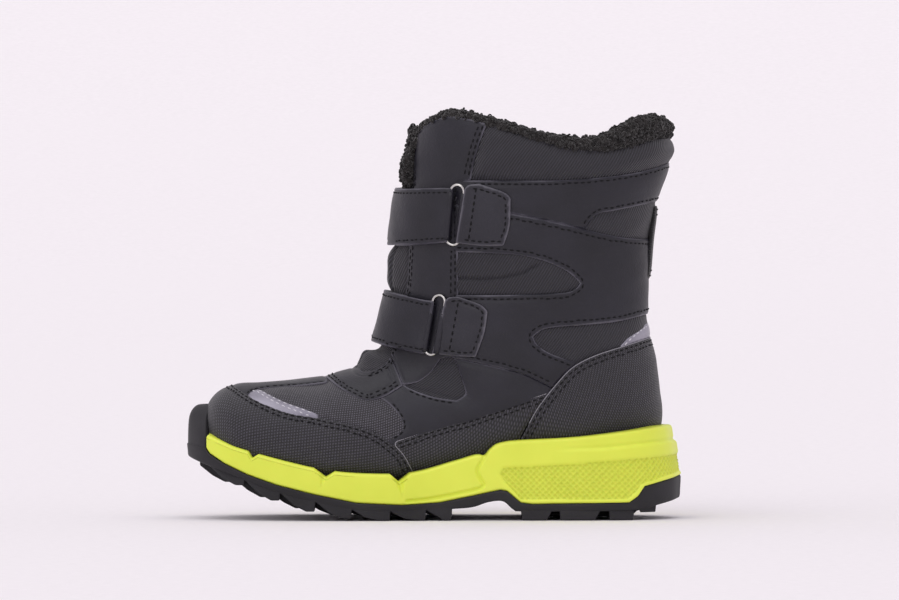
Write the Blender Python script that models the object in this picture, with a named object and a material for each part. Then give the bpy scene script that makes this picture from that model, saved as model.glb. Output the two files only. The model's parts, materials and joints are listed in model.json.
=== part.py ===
"""A child's winter hiking boot for the right foot, built as separate pieces.

Run it with: blender --background --python part.py
The outlines below are in millimetres and are turned to metres where a mesh is made.
X runs along the foot, with the toe towards -X. +Y is the outer (lateral) side, +Z is up.
The origin is on the ground, under the middle of the boot's bounding box.
"""

import math

import bmesh
import bpy
import numpy as np
from mathutils import Matrix, Vector
from mathutils.bvhtree import BVHTree

MM = 0.001

# The upper's surface is a loft of closed loops, fanned out from the foot to the shaft.
# Each row: front or top point (x, z), back or bottom point (x, z), medial and lateral
# half widths, the loop's centre y, where along the loop it is widest, and the
# roundness (superellipse power) of the front half and of the back half.
LOOPS = (
    (-101.6, 47.0, -101.0, 33.0, 9.0, 10.0, -5.0, 0.55, 2.3, 2.6),
    (-99.5, 52.3, -98.5, 29.0, 18.5, 19.0, -4.5, 0.57, 2.3, 3.0),
    (-95.0, 56.8, -93.0, 26.0, 25.5, 25.5, -4.0, 0.60, 2.3, 3.3),
    (-88.0, 59.8, -86.0, 23.5, 31.0, 30.5, -3.2, 0.62, 2.3, 3.5),
    (-77.0, 60.2, -74.0, 19.8, 34.5, 35.0, -2.0, 0.63, 2.3, 3.5),
    (-62.0, 61.5, -58.0, 16.5, 36.5, 37.5, -0.5, 0.64, 2.2, 3.5),
    (-47.0, 63.6, -40.0, 14.5, 37.0, 38.5, 0.0, 0.64, 2.2, 3.5),
    (-36.0, 66.6, -18.0, 13.8, 35.5, 38.0, 0.5, 0.62, 2.1, 3.3),
    (-29.0, 70.5, 8.0, 15.0, 33.5, 36.0, 0.8, 0.58, 2.1, 3.0),
    (-25.0, 74.5, 35.0, 17.0, 32.0, 34.5, 0.8, 0.55, 2.1, 2.7),
    (-22.6, 80.0, 65.0, 19.0, 31.5, 33.0, 0.5, 0.52, 2.1, 2.4),
    (-20.6, 87.0, 90.0, 22.5, 32.0, 32.5, 0.0, 0.50, 2.2, 2.2),
    (-18.6, 95.0, 100.5, 40.0, 32.5, 33.0, 0.0, 0.48, 2.2, 2.1),
    (-17.2, 103.0, 99.3, 63.0, 33.0, 33.5, 0.0, 0.47, 2.2, 2.1),
    (-16.8, 112.0, 95.8, 87.0, 34.0, 34.5, 0.0, 0.47, 2.2, 2.1),
    (-16.0, 122.0, 95.7, 108.0, 35.5, 36.0, 0.0, 0.47, 2.2, 2.2),
    (-14.4, 134.0, 97.0, 127.0, 37.0, 37.5, 0.0, 0.47, 2.2, 2.2),
    (-12.7, 146.0, 100.3, 144.0, 38.5, 39.0, 0.0, 0.48, 2.2, 2.2),
    (-11.8, 158.0, 105.0, 157.0, 39.5, 40.0, 0.0, 0.48, 2.2, 2.2),
    (-9.5, 171.0, 106.0, 170.0, 40.0, 40.5, 0.0, 0.48, 2.2, 2.2),
    (-6.0, 186.0, 105.5, 186.0, 40.0, 40.5, 0.0, 0.48, 2.2, 2.2),
)
TOE_POINT = (-102.0, -5.0, 40.0)
AROUND = 20  # sides of each loop
GAP = 0.3  # between neighbouring solids

# Layers, as distances out from the upper's surface (inwards is negative).
SKIN = (-2.9, 0.0)  # outer panels with their foam backing
THIN_SKIN = (-1.6, 0.0)  # outer panels that cover a stiffener
STIFFENER = (-2.9, -1.9)
LINING = (-7.0, -3.2)
FUR_ROLL = (-6.6, 0.8)
UNDER_RUN = (0.4, 1.6)  # the strap's sewn layer
LOOP_PATCH = (1.9, 2.4)
HOOK_PATCH = (2.7, 3.1)
FLAP = (3.4, 4.8)  # the strap's free layer
KEEPER = (0.4, 1.9)
PULL_LOOP = (0.4, 2.2)

# Oval wire rings: bar radius, spacing of the two bars, straight length of a bar.
WIRE_R = 0.8
BAR_SPACING = 6.2
BAR_STRAIGHT = 22.2
RING_OUT = 2.9  # how far out from the upper the ring's plane is
EYE_R = 1.9
EYE_BORE_R = 1.05
EYE_LENGTH = 21.0
UPPER_BAR = (6.2, 135.3, 0.118)  # x, z and lean (x per z) of the strap's bar
LOWER_BAR = (-2.8, 85.2, 0.162)
STRAP_FOLD_X = -1.85  # where the free layer bends on the lateral side
FOLD_OUT = 0.5  # how far outside the free layer its bending axis is
TONGUE_PIVOT = (-14.4, 0.0, 150.4)  # where the tongue's top bends forward

FAR = 120.0  # past the boot on every side


def spline(points, steps):
    """A Catmull-Rom curve through the points, with this many steps to a span."""
    p = np.array(points, float)
    p = np.vstack([2 * p[0] - p[1], p, 2 * p[-1] - p[-2]])
    t = np.linspace(0, 1, steps, endpoint=False)[:, None]
    spans = [
        0.5
        * (
            2 * b
            + (c - a) * t
            + (2 * a - 5 * b + 4 * c - d) * t**2
            + (3 * b - a - 3 * c + d) * t**3
        )
        for a, b, c, d in zip(p, p[1:], p[2:], p[3:])
    ]
    return np.vstack([*spans, p[-2][None]])


def loops_at(distance):
    """The loft's loops moved out by a distance, as arrays of points in millimetres."""
    rows = np.array(LOOPS)
    front, back = rows[:, 0:2], rows[:, 2:4]
    front_way = np.gradient(front, axis=0)
    back_way = np.gradient(back, axis=0)
    front_way /= np.linalg.norm(front_way, axis=1)[:, None]
    back_way /= np.linalg.norm(back_way, axis=1)[:, None]
    front = front + distance * np.column_stack([-front_way[:, 1], front_way[:, 0]])
    back = back + distance * np.column_stack([back_way[:, 1], -back_way[:, 0]])
    angle = np.arange(AROUND) * 2 * math.pi / AROUND
    loops = []
    for f, b, row in zip(front, back, rows):
        medial, lateral, centre, widest, power_f, power_b = row[4:]
        cos, sin = np.cos(angle), np.sin(angle)
        power = np.where(cos >= 0, power_f, power_b)
        reach = np.abs(cos) ** (2 / power)
        along = np.where(cos >= 0, widest * (1 - reach), widest + (1 - widest) * reach)
        half = np.where(sin >= 0, medial, lateral) + distance
        y = centre - np.sign(sin) * half * np.abs(sin) ** (2 / power)
        loops.append(
            np.column_stack(
                [f[0] + along * (b[0] - f[0]), y, f[1] + along * (b[1] - f[1])]
            )
        )
    return loops


def link(name, mesh):
    """A new object with this mesh, in the scene."""
    obj = bpy.data.objects.new(name, mesh)
    bpy.context.scene.collection.objects.link(obj)
    return obj


def add_wall(bm, distance):
    """Adds the loft at a distance to a bmesh. Returns its top loop of vertices."""
    loops = [
        [bm.verts.new(Vector(p) * MM) for p in loop] for loop in loops_at(distance)
    ]
    toe = bm.verts.new(Vector((TOE_POINT[0] - distance, *TOE_POINT[1:])) * MM)
    for i in range(AROUND):
        j = (i + 1) % AROUND
        bm.faces.new((toe, loops[0][i], loops[0][j]))
        for low, high in zip(loops, loops[1:]):
            bm.faces.new((low[i], high[i], high[j], low[j]))
    return loops[-1]


def finish_mesh(bm, name):
    """Turns the faces outwards and makes a mesh of the bmesh."""
    bmesh.ops.triangulate(bm, faces=[f for f in bm.faces if len(f.verts) == 4])
    bmesh.ops.recalc_face_normals(bm, faces=bm.faces)
    mesh = bpy.data.meshes.new(name)
    bm.to_mesh(mesh)
    bm.free()
    return mesh


def shell_mesh(layer):
    """The whole upper's wall between the layer's two distances, open at the top."""
    bm = bmesh.new()
    inner, outer = (add_wall(bm, d) for d in layer)
    for i in range(AROUND):
        j = (i + 1) % AROUND
        bm.faces.new((inner[i], inner[j], outer[j], outer[i]))
    return finish_mesh(bm, "shell")


def body_mesh(distance):
    """The upper's whole volume, filled, grown by a distance."""
    bm = bmesh.new()
    bm.faces.new(add_wall(bm, distance))
    return finish_mesh(bm, "body")


def prism(name, outline, span=(-FAR, FAR)):
    """A cutter: an outline of (x, z) points, extruded in y over the span."""
    bm = bmesh.new()
    face = bm.faces.new([bm.verts.new(Vector((x, span[0], z)) * MM) for x, z in outline])
    made = bmesh.ops.extrude_face_region(bm, geom=[face])["geom"]
    moved = [v for v in made if isinstance(v, bmesh.types.BMVert)]
    bmesh.ops.translate(bm, verts=moved, vec=(0, (span[1] - span[0]) * MM, 0))
    return as_cutter(link("cut_" + name, finish_mesh(bm, "prism")))


def plan_prism(name, rows, grow):
    """A cutter: a strip seen from above, from rows of x and the y of its two edges."""
    outline = [(x, low - grow) for x, low, _ in rows]
    outline += [(x, high + grow) for x, _, high in reversed(rows)]
    bm = bmesh.new()
    face = bm.faces.new([bm.verts.new(Vector((x, y, 0)) * MM) for x, y in outline])
    made = bmesh.ops.extrude_face_region(bm, geom=[face])["geom"]
    moved_up = [v for v in made if isinstance(v, bmesh.types.BMVert)]
    bmesh.ops.translate(bm, verts=moved_up, vec=(0, 0, FAR * MM))
    return as_cutter(link("cut_plan_" + name, finish_mesh(bm, "prism")))


def box(name, low, high):
    """A cutter: a box between two corners."""
    bm = bmesh.new()
    bmesh.ops.create_cube(bm, size=1)
    size = [(b - a) * MM for a, b in zip(low, high)]
    middle = [(a + b) / 2 * MM for a, b in zip(low, high)]
    bmesh.ops.scale(bm, verts=bm.verts, vec=size)
    bmesh.ops.translate(bm, verts=bm.verts, vec=middle)
    return as_cutter(link("cut_" + name, finish_mesh(bm, "box")))


def as_cutter(obj):
    """Keeps a helper out of the model."""
    obj.hide_render = True
    obj.display_type = "WIRE"
    return obj


def carve(obj, operation, *cutters):
    """Adds an exact Boolean to the object for each cutter."""
    for cutter in cutters:
        modifier = obj.modifiers.new(operation.title(), "BOOLEAN")
        modifier.operation = operation
        modifier.solver = "EXACT"
        modifier.object = cutter
    return obj


def hang(obj, point):
    """Moves the object's origin to a point on its joint's axis. The shape stays put."""
    obj.data.transform(Matrix.Translation(-point))
    obj.location = point
    return obj


def paint(obj, name, colour, roughness, metallic=0.0):
    """Gives the object its material, made on first use."""
    material = bpy.data.materials.get(name)
    if material is None:
        material = bpy.data.materials.new(name)
        material.use_nodes = True
        shader = material.node_tree.nodes["Principled BSDF"]
        shader.inputs["Base Color"].default_value = (*colour, 1)
        shader.inputs["Roughness"].default_value = roughness
        shader.inputs["Metallic"].default_value = metallic
    obj.data.materials.clear()
    obj.data.materials.append(material)
    return obj


def synthetic_leather(obj):
    return paint(obj, "synthetic_leather", (0.035, 0.035, 0.040), 0.55)


def coarse_canvas(obj):
    return paint(obj, "coarse_canvas", (0.030, 0.030, 0.035), 0.75)


def twill(obj):
    return paint(obj, "twill", (0.045, 0.043, 0.052), 0.8)


def reflective_tape(obj):
    return paint(obj, "reflective_tape", (0.45, 0.45, 0.47), 0.35)


def pile(obj):
    return paint(obj, "pile_lining", (0.030, 0.028, 0.027), 0.95)


def lime_foam(obj):
    return paint(obj, "lime_foam", (0.62, 0.80, 0.04), 0.5)


def rubber(obj):
    return paint(obj, "black_rubber", (0.040, 0.040, 0.045), 0.7)


def board(obj):
    return paint(obj, "fibre_board", (0.45, 0.38, 0.28), 0.85)


def wire_steel(obj):
    return paint(obj, "nickel_wire", (0.75, 0.74, 0.72), 0.25, 1.0)


def webbing(obj):
    return paint(obj, "webbing", (0.025, 0.025, 0.028), 0.8)


MEDIAL = (-FAR, -GAP / 2)
LATERAL = (GAP / 2, FAR)

# The lines that panels share, as (x, z) points in side view.
SOLE_EDGE = (  # the top of the midsole's wall, without its notches
    (-102.4, 38.2), (-86.8, 32.1), (-65.8, 26.4), (-48.0, 22.6), (-30.0, 21.0),
    (-9.9, 21.4), (10.2, 27.0), (18.7, 29.3), (25.6, 32.6), (37.5, 35.0),
    (69.8, 37.9), (102.9, 41.5),
)
TOE_SEAM = (
    (-90.4, 60.0), (-82.3, 54.8), (-75.6, 51.6), (-64.5, 47.7), (-51.1, 45.4),
    (-33.2, 41.2), (-22.1, 36.2), (-14.1, 29.2), (-9.9, 21.6),
)
MUDGUARD_SEAM = ((-19.4, 34.6), (2.5, 41.3), (16.1, 45.2), (33.7, 50.9), (51.0, 56.6))
HEEL_SEAM = (
    (36.0, 31.0), (42.2, 43.1), (46.9, 51.1), (54.9, 61.1), (61.9, 68.1),
    (71.8, 73.1), (85.0, 77.2), (97.8, 81.0), (112.0, 84.4),
)
COLLAR_EDGE = (
    (-9.7, 153.3), (-9.3, 167.6), (-5.1, 174.7), (4.7, 179.4), (13.6, 178.7),
    (23.9, 176.2), (39.5, 171.6), (53.1, 167.1), (66.7, 164.8), (80.4, 164.4),
    (98.6, 168.9), (112.0, 170.6),
)
COLLAR_SEAM = (
    (16.0, 151.1), (54.0, 151.1), (75.9, 152.5), (94.1, 155.2), (112.0, 160.6),
)
BAND_SEAM = ((10.4, 140.2), (34.9, 135.8), (57.7, 130.8), (71.3, 125.8), (82.8, 123.6),
             (112.0, 121.8))
LOW_SEAM = ((10.4, 71.6), (14.1, 71.0), (31.9, 67.1), (42.6, 63.6), (52.4, 58.8))


def moved(line, dx=0.0, dz=0.0):
    """The line's points, shifted."""
    return [(x + dx, z + dz) for x, z in line]


def inside_edge(drop):
    """The sole edge, lowered, from back to front, as a panel's hidden lower border."""
    return [(112.0, 42.0 - drop), *reversed(moved(SOLE_EDGE, dz=-drop)), (-108, 39 - drop)]


def between(line, low_x, high_x):
    """The points of a line whose x lies between two values."""
    return [p for p in line if low_x < p[0] < high_x]


SADDLE = (  # the strip over the toes, seen from above: x, and y of its two edges
    (-96.0, -30.0, 28.0), (-83.0, -25.0, 22.0), (-79.5, -19.5, 17.5), (-71.0, -16.0, 14.5),
    (-48.0, -15.5, 15.5),
)
TUCK = 4.0  # how far the upper reaches down inside the midsole's wall
TUCKED = inside_edge(TUCK)
FACING_FRONT = ((-9.7, 159.5), (-9.7, 150.6), (-11.4, 119.8), (-12.7, 102.0), (-15.5, 88.0),
                (-19.6, 73.6))


def panel(name, layer, outline, *sides):
    """One piece of the upper: the layer's wall inside an outline. With sides, there is
    one object for each, named for it; without, the piece wraps round the boot."""
    spans = {"medial": MEDIAL, "lateral": LATERAL, None: (-FAR, FAR)}
    made = []
    for side in sides or (None,):
        full = name if side is None else f"{name}_{side}"
        obj = link(full, shell_mesh(layer))
        made.append(carve(obj, "INTERSECT", prism(full, outline, spans[side])))
    return made


def make_toe():
    """Toe cap, its stiffener, the saddle over the toes and the vamp's side panels."""
    cap = [(-93.0, 66.0), *moved(TOE_SEAM, dz=-GAP)[:-1], (-10.2, 21.4)]
    cap += [(-10.2, 17.4), *between(TUCKED, -99.0, -11.0), (-108.0, 34.5), (-108.0, 66.0)]
    coarse_canvas(panel("toe_cap", THIN_SKIN, cap)[0])
    puff = [(-94.5, 66.0), *moved(TOE_SEAM[:4], -0.8, -1.2), (-68.0, 30.0), (-84.0, 31.0)]
    puff += [(-100.0, 35.5), (-108.0, 36.5), (-108.0, 66.0)]
    board(panel("toe_puff", STIFFENER, puff)[0])
    saddle = link("vamp_saddle", shell_mesh(SKIN))
    front = [(-93.0, 72.0), *moved(TOE_SEAM[:2], 0.2, GAP), (-48.9, 40.0), (-48.9, 72.0)]
    carve(saddle, "INTERSECT", prism("saddle_front", front), plan_prism("saddle", SADDLE, 0.0))
    synthetic_leather(saddle)
    tape = [(-82.3, 55.4), (-79.4, 57.3), (-77.0, 57.1), (-67.6, 52.7), (-60.2, 50.2)]
    tape += [(-52.8, 47.6), (-52.2, 46.2), (-64.5, 48.2), (-75.6, 52.1)]
    for obj in panel("toe_reflector", SKIN, tape, "medial", "lateral"):
        reflective_tape(carve(obj, "DIFFERENCE", plan_prism(obj.name, SADDLE, GAP)))
    side = [(-80.0, 72.0), (-48.9, 72.0), (-48.9, 62.9), (-39.9, 56.8)]
    side += [(-30.6, 52.9), (-22.7, 54.4), (-21.3, 52.0), (-17.7, 47.7), (-15.1, 42.7)]
    side += [(-16.2, 39.8), (-19.9, 37.9), (-21.0, 36.4), (-33.2, 41.7), (-51.1, 45.9)]
    side += [(-51.8, 47.4), (-60.0, 50.7), (-67.4, 53.2), (-76.8, 57.6), (-79.8, 57.9)]
    for obj in panel("vamp_side", SKIN, side, "medial", "lateral"):
        twill(carve(obj, "DIFFERENCE", plan_prism(obj.name, SADDLE, GAP)))


def make_throat():
    """The overlay across the instep, the tongue and the two facings beside it."""
    overlay = [(-48.6, 63.2), (-48.6, 74.0), (-34.3, 74.0), (-34.1, 66.0), (-27.9, 65.2)]
    overlay += [(-22.3, 68.3), (-20.4, 71.3), (-17.5, 66.8), (-14.6, 59.7), (-22.3, 55.1)]
    overlay += [(-30.6, 53.3), (-39.9, 57.2)]
    synthetic_leather(panel("throat_overlay", SKIN, overlay)[0])
    tongue = [(-34.0, 66.4), (-34.0, 150.2), (-10.0, 150.2), *moved(FACING_FRONT[2:], -GAP)]
    tongue += [(-22.5, 68.8), (-27.9, 65.7)]
    twill(panel("tongue", SKIN, tongue)[0])
    pivot = Vector(TONGUE_PIVOT) * MM
    top = hang(link("tongue_top", shell_mesh((LINING[0], 1.4))), pivot)
    twill(carve(top, "INTERSECT", box("tongue_top", (-40, -12.0, 150.6), (30, 12.0, 172.0))))
    cuff = hang(link("tongue_pile", shell_mesh((LINING[0], 3.0))), pivot)
    pile(carve(cuff, "INTERSECT", box("tongue_pile", (-40, -12.0, 172.3), (30, 12.0, 180.5))))
    facing = [*FACING_FRONT, (-14.3, 60.0), (-7.4, 61.6), (-2.0, 65.6), (3.0, 72.2)]
    facing += [(8.0, 76.0), (10.1, 82.0), (10.1, 147.0), (15.7, 151.1), (16.7, 157.7)]
    facing += [(19.9, 168.5), (22.9, 176.4), *reversed(COLLAR_EDGE[1:5])]
    for obj in panel("facing", SKIN, facing, "medial", "lateral"):
        synthetic_leather(carve(obj, "DIFFERENCE", box(obj.name + "_edge",
                                                       (-40, -12.3, 150.0), (30, 12.3, 190.0))))


def make_quarters():
    """The leather-look panels of the sides and the fabric windows between them."""
    band = [(10.4, 146.8), *moved(COLLAR_SEAM, dz=-GAP), (112.0, 144.9), (98.8, 141.5)]
    band += [(89.5, 138.8), (80.1, 137.8), (73.0, 136.7), (68.3, 132.4), (69.2, 128.8)]
    band += [(71.2, 126.4), *reversed([(x, z + 0.3) for x, z in BAND_SEAM[:3]])]
    side = [*moved(BAND_SEAM, dz=-GAP), (112.0, 96.2), (96.2, 92.9), (73.9, 88.9)]
    side += [(56.0, 87.5), (47.1, 86.6), (42.8, 84.2), (46.8, 78.0), (55.8, 72.2)]
    side += [(62.2, 69.3), *moved(HEEL_SEAM[3:5], -GAP, GAP)[::-1], (52.5, 59.3)]
    side += [*reversed(moved(LOW_SEAM[:4], dz=GAP)), (10.4, 99.4), (33.7, 99.9)]
    side += [(56.0, 100.6), (62.6, 102.2), (65.7, 106.0), (59.9, 112.1), (48.6, 117.0)]
    side += [(33.7, 119.9), (10.4, 120.1)]
    low = [*reversed(moved(LOW_SEAM[1:], dz=-GAP)), (11.0, 71.2), (12.8, 64.0), (13.5, 59.6)]
    low += [(13.4, 55.4), (9.8, 52.6), (-1.1, 54.4), (-11.8, 58.2), (-14.2, 59.3)]
    low += [(-22.1, 54.3), (-20.8, 52.0), (-17.2, 47.7), (-14.6, 42.7), (-15.7, 39.5)]
    low += [(-19.4, 37.6), (-19.2, 35.2)]
    low += [*moved(MUDGUARD_SEAM[1:], dz=GAP)]
    guard = [*moved(MUDGUARD_SEAM[:-1], dz=-GAP), (50.4, 56.0), (46.4, 51.2), (41.7, 43.2)]
    guard += [(35.6, 31.0)]
    guard += [*between(TUCKED, -9.0, 30.0), (-9.6, 17.5), (-9.6, 21.7), (-13.7, 29.4)]
    for name, outline in (("quarter_band", band), ("quarter_side", side), ("quarter_low", low)):
        for obj in panel(name, SKIN, outline, "medial", "lateral"):
            synthetic_leather(obj)
    for obj in panel("mudguard", SKIN, guard, "medial", "lateral"):
        coarse_canvas(obj)
    window = [(10.4, 119.8), (33.7, 119.6), (48.4, 116.7), (59.6, 111.8), (65.4, 106.0)]
    window += [(62.3, 102.5), (56.0, 100.9), (33.7, 100.2), (10.4, 99.7)]
    corner = [(3.3, 72.0), (10.7, 71.2), (12.5, 64.0), (13.2, 59.6), (13.1, 55.7)]
    corner += [(9.6, 53.0), (-1.1, 54.8), (-13.9, 59.7), (-7.3, 61.2), (-1.8, 65.2)]
    recessed = (SKIN[0], -0.7)
    for name, outline in (("side_window", window), ("instep_window", corner)):
        for obj in panel(name, recessed, outline, "medial", "lateral"):
            twill(obj)
    achilles = [(112.0, 144.5), (98.8, 141.2), (89.5, 138.4), (80.1, 137.5), (73.0, 136.3)]
    achilles += [(68.6, 132.3), (69.5, 129.0), (71.4, 126.1), (82.8, 123.9), (112.0, 122.1)]
    ankle = [(112.0, 95.8), (96.2, 92.5), (73.9, 88.5), (56.0, 87.1), (47.3, 86.2)]
    ankle += [(43.3, 84.1), (47.2, 78.4), (56.1, 72.7), (64.0, 69.8), (71.6, 73.7)]
    ankle += [(81.6, 77.2), (86.3, 81.0), (90.8, 84.5), (96.2, 87.6), (112.0, 91.8)]
    twill(panel("achilles_window", recessed, achilles)[0])
    twill(panel("ankle_window", recessed, ankle)[0])


def make_heel():
    """The heel cover, its stiffener, the reflective strip and the pull loop."""
    cover = [*moved(HEEL_SEAM, GAP, -GAP), (112.0, 37.5), *between(TUCKED, 38.0, 110.0)]
    coarse_canvas(panel("heel_cover", THIN_SKIN, cover)[0])
    counter = [(45.0, 33.5), (52.0, 52.0), (64.0, 66.0), (85.0, 74.0), (112.0, 80.0)]
    counter += [(112.0, 39.0), (98.0, 37.5), (70.0, 35.0)]
    board(panel("heel_counter", STIFFENER, counter)[0])
    tape = [(82.6, 77.1), (86.5, 80.5), (91.0, 84.1), (96.3, 87.2), (112.0, 91.4)]
    tape += [(112.0, 84.9), (97.8, 81.5)]
    reflective_tape(panel("heel_reflector", SKIN, tape)[0])
    loop = link("pull_loop", shell_mesh(PULL_LOOP))
    webbing(carve(loop, "INTERSECT", box("pull_loop", (70, -8.0, 106.5), (FAR, 8.0, 139.5))))


def make_collar():
    """The padded collar, the pile roll along its edge and the pile lining inside."""
    collar = [(23.3, 176.4), (20.2, 168.5), (17.0, 157.7), (16.2, 151.4)]
    collar += [*moved(COLLAR_SEAM[1:], dz=GAP), *reversed(COLLAR_EDGE[6:])]
    twill(panel("collar", SKIN, collar)[0])
    roll = [*moved(COLLAR_EDGE[2:], dz=GAP), (112.0, 177.5), (95.0, 177.5), (84.0, 172.5)]
    roll += [(70.0, 169.8), (56.0, 171.0), (40.0, 175.0), (22.0, 180.5), (4.0, 183.0)]
    roll += [(-5.0, 179.0)]
    cuff = panel("collar_pile", FUR_ROLL, roll)[0]
    pile(carve(cuff, "DIFFERENCE", box("collar_pile_front", (-40, -12.4, 150), (30, 12.4, 190))))
    floor = [(r[2], r[3] + 3.2) for r in LOOPS[1:12]]
    inside = [(-106.0, 34.0), *floor, (112.0, 30.0)]
    front = [p for p in inside if p[0] < -31.0] + [(-30.2, 17.2), (-30.2, 90.0), (-106.0, 90.0)]
    rear = [(-29.8, 17.2)] + [p for p in inside if p[0] > -29.0]
    rear += [(112.0, 170.3), *reversed(moved(COLLAR_EDGE[1:-1], dz=-GAP)), (-9.7, 152.0)]
    rear += [(-29.8, 152.0)]
    bed = as_cutter(link("cut_footbed", body_mesh(LINING[0])))
    bed.location.z = -4.2 * MM
    pile(carve(panel("lining_vamp", LINING, front)[0], "DIFFERENCE", bed))
    for obj in panel("lining", LINING, rear, "medial", "lateral"):
        clear = box(obj.name + "_front", (-40, -12.4, 150.2), (30, 12.4, 190.0))
        pile(carve(obj, "DIFFERENCE", clear, bed))


def make_insoles():
    """The board that closes the upper's bottom, and the footbed that lies on it."""
    floor = [(-104.0, 38.0), *[(r[2], r[3]) for r in LOOPS[1:12]], (104.0, 28.0)]
    layers = (("insole_board", -3.8, -3.4, 0.3, 2.6, board),
              ("footbed", LINING[0] - GAP, -4.2, 3.2, 8.0, pile))
    for name, inset, drop, low, high, finish in layers:
        obj = link(name, body_mesh(inset))
        obj.location.z = drop * MM
        slab = prism(name, moved(floor, dz=low) + moved(floor, dz=high)[::-1])
        finish(carve(obj, "INTERSECT", slab))


# The sole's outline seen from above: the inner side first, from the heel to the toe.
SOLE_PLAN = (
    (106.0, 0.0), (102.0, -16.0), (92.0, -27.5), (75.0, -33.5), (50.0, -35.0),
    (25.0, -36.0), (0.0, -37.5), (-25.0, -40.5), (-50.0, -41.5), (-72.0, -40.0),
    (-90.0, -35.0), (-102.0, -26.0), (-108.3, -15.0), (-110.0, -4.0), (-108.0, 8.0),
    (-101.0, 20.0), (-88.0, 30.5), (-70.0, 38.0), (-48.0, 42.0), (-25.0, 42.5),
    (0.0, 40.5), (25.0, 38.5), (50.0, 37.5), (75.0, 34.5), (92.0, 28.0), (102.0, 16.0),
)
MIDSOLE_FLOOR = (
    (-102.0, 32.0), (-100.0, 29.2), (-93.7, 25.2), (-83.2, 20.3), (-69.8, 15.7),
    (-53.8, 11.7), (-34.6, 7.8), (-14.5, 6.8), (2.5, 7.9), (16.7, 10.8), (29.5, 13.5),
    (32.4, 12.9), (38.4, 7.8), (43.5, 7.1), (84.6, 7.8), (88.0, 10.4), (90.8, 14.9),
    (98.8, 17.2), (112.0, 20.8),
)
GROUND_LINE = (
    (112.0, 10.2), (105.0, 7.0), (98.0, 4.4), (88.0, 0.0), (39.0, 0.0), (38.0, 4.2),
    (35.9, 5.0), (30.6, 8.0), (24.8, 8.0), (17.2, 5.6), (7.8, 4.7), (7.4, 0.0),
    (-34.0, 0.0), (-45.0, 1.6), (-58.0, 4.6), (-72.0, 8.4), (-86.0, 13.4), (-98.0, 18.9),
    (-104.0, 22.8),
)
NOTCHES = (  # three V cuts in the top edge: front, bottom and back of each
    ((-83.2, 30.8), (-81.4, 27.9), (-78.5, 29.6)),
    ((-52.0, 23.5), (-48.0, 20.6), (-44.8, 22.2)),
    ((-18.5, 21.2), (-15.6, 18.8), (-11.0, 21.4)),
)
BUMPER_TAPER = 0.45  # how much narrower the toe bumper's top is
HEEL_FLARE = 3.6  # how much further back the heel reaches at the bottom of the sole


def sole_block(name):
    """The whole sole's volume: the plan outline, flared out at the bottom of the heel."""
    bm = bmesh.new()
    outline = spline([*SOLE_PLAN, SOLE_PLAN[0]], 2)[:-1]
    rings = []
    toe = np.clip((-outline[:, 0] - 88.0) / 16.0, 0.0, 1.0)
    heel = np.clip((outline[:, 0] - 60.0) / 45.0, 0.0, 1.0)
    for height in (-5.0, 14.0, 36.0, 42.0, 52.0):
        flare = np.clip((42.0 - height) / 24.0, 0.0, 1.0)
        narrow = np.clip((height - 36.0) / 16.0, 0.0, 1.0) * toe * BUMPER_TAPER
        x = outline[:, 0] + HEEL_FLARE * flare * heel
        y = outline[:, 1] * (1 + 0.05 * flare * heel) * (1 - narrow)
        rings.append([bm.verts.new(Vector((a, b, height)) * MM) for a, b in zip(x, y)])
    for low, high in zip(rings, rings[1:]):
        for i in range(len(low)):
            j = (i + 1) % len(low)
            bm.faces.new((low[i], low[j], high[j], high[i]))
    bm.faces.new(rings[0])
    bm.faces.new(rings[-1])
    return link(name, finish_mesh(bm, name))


def make_sole():
    """The midsole, cupped round the upper, and the lugged outsole under it."""
    foot = as_cutter(link("cut_foot", body_mesh(GAP)))
    top = sorted([*SOLE_EDGE, *(p for notch in NOTCHES for p in notch)], reverse=True)
    midsole = sole_block("midsole")
    side = prism("midsole", [(112.0, 34.0), (105.8, 35.0), *top, *MIDSOLE_FLOOR])
    lime_foam(carve(midsole, "INTERSECT", side))
    carve(midsole, "DIFFERENCE", foot)
    outsole = sole_block("outsole")
    bumper = [(-112.0, 28.0), (-111.0, 42.0), (-108.9, 48.0), (-106.0, 50.7), (-101.5, 49.6)]
    bumper += [(-98.6, 44.0), (-96.5, 38.5), (-96.5, 36.1), (-102.7, 38.7), (-102.7, 31.9)]
    line = [*bumper, *moved(MIDSOLE_FLOOR[1:], dz=-GAP), *GROUND_LINE]
    rubber(carve(outsole, "INTERSECT", prism("outsole", line)))
    carve(outsole, "DIFFERENCE", foot)
    for x, base in ((-88, 14.6), (-73, 10.2), (-58, 6.2), (-43, 4.2), (-27, 3.4), (-10, 3.4),
                    (55, 3.6), (71, 3.6)):
        carve(outsole, "DIFFERENCE", box(f"groove_{x}", (x, -FAR, base - 12), (x + 5, FAR, base)))


def wall_point(distance, x, z, side):
    """The point and outward normal of the upper's surface, moved out by a distance, at
    (x, z) on one side (-1 is medial, 1 is lateral)."""
    mesh = body_mesh(distance)
    corners = [v.co for v in mesh.vertices]
    tree = BVHTree.FromPolygons(corners, [tuple(p.vertices) for p in mesh.polygons])
    bpy.data.meshes.remove(mesh)
    start = Vector((x * MM, side * 0.2, z * MM))
    point, normal, *_ = tree.ray_cast(start, Vector((0, -side, 0)))
    return point, normal


def bar_frame(bar, behind=0.0):
    """Centre, direction up the bar, outward normal and rearward direction of a ring's
    bar on the medial side, this far behind the bar that carries the strap."""
    x, z, lean = bar
    centre, normal = wall_point(RING_OUT, x, z, -1)
    up = Vector((lean, 0, 1))
    up = (up - up.dot(normal) * normal).normalized()
    rear = up.cross(normal).normalized()
    if rear.x < 0:
        rear = -rear
    return centre + rear * behind * MM, up, normal, rear


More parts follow.
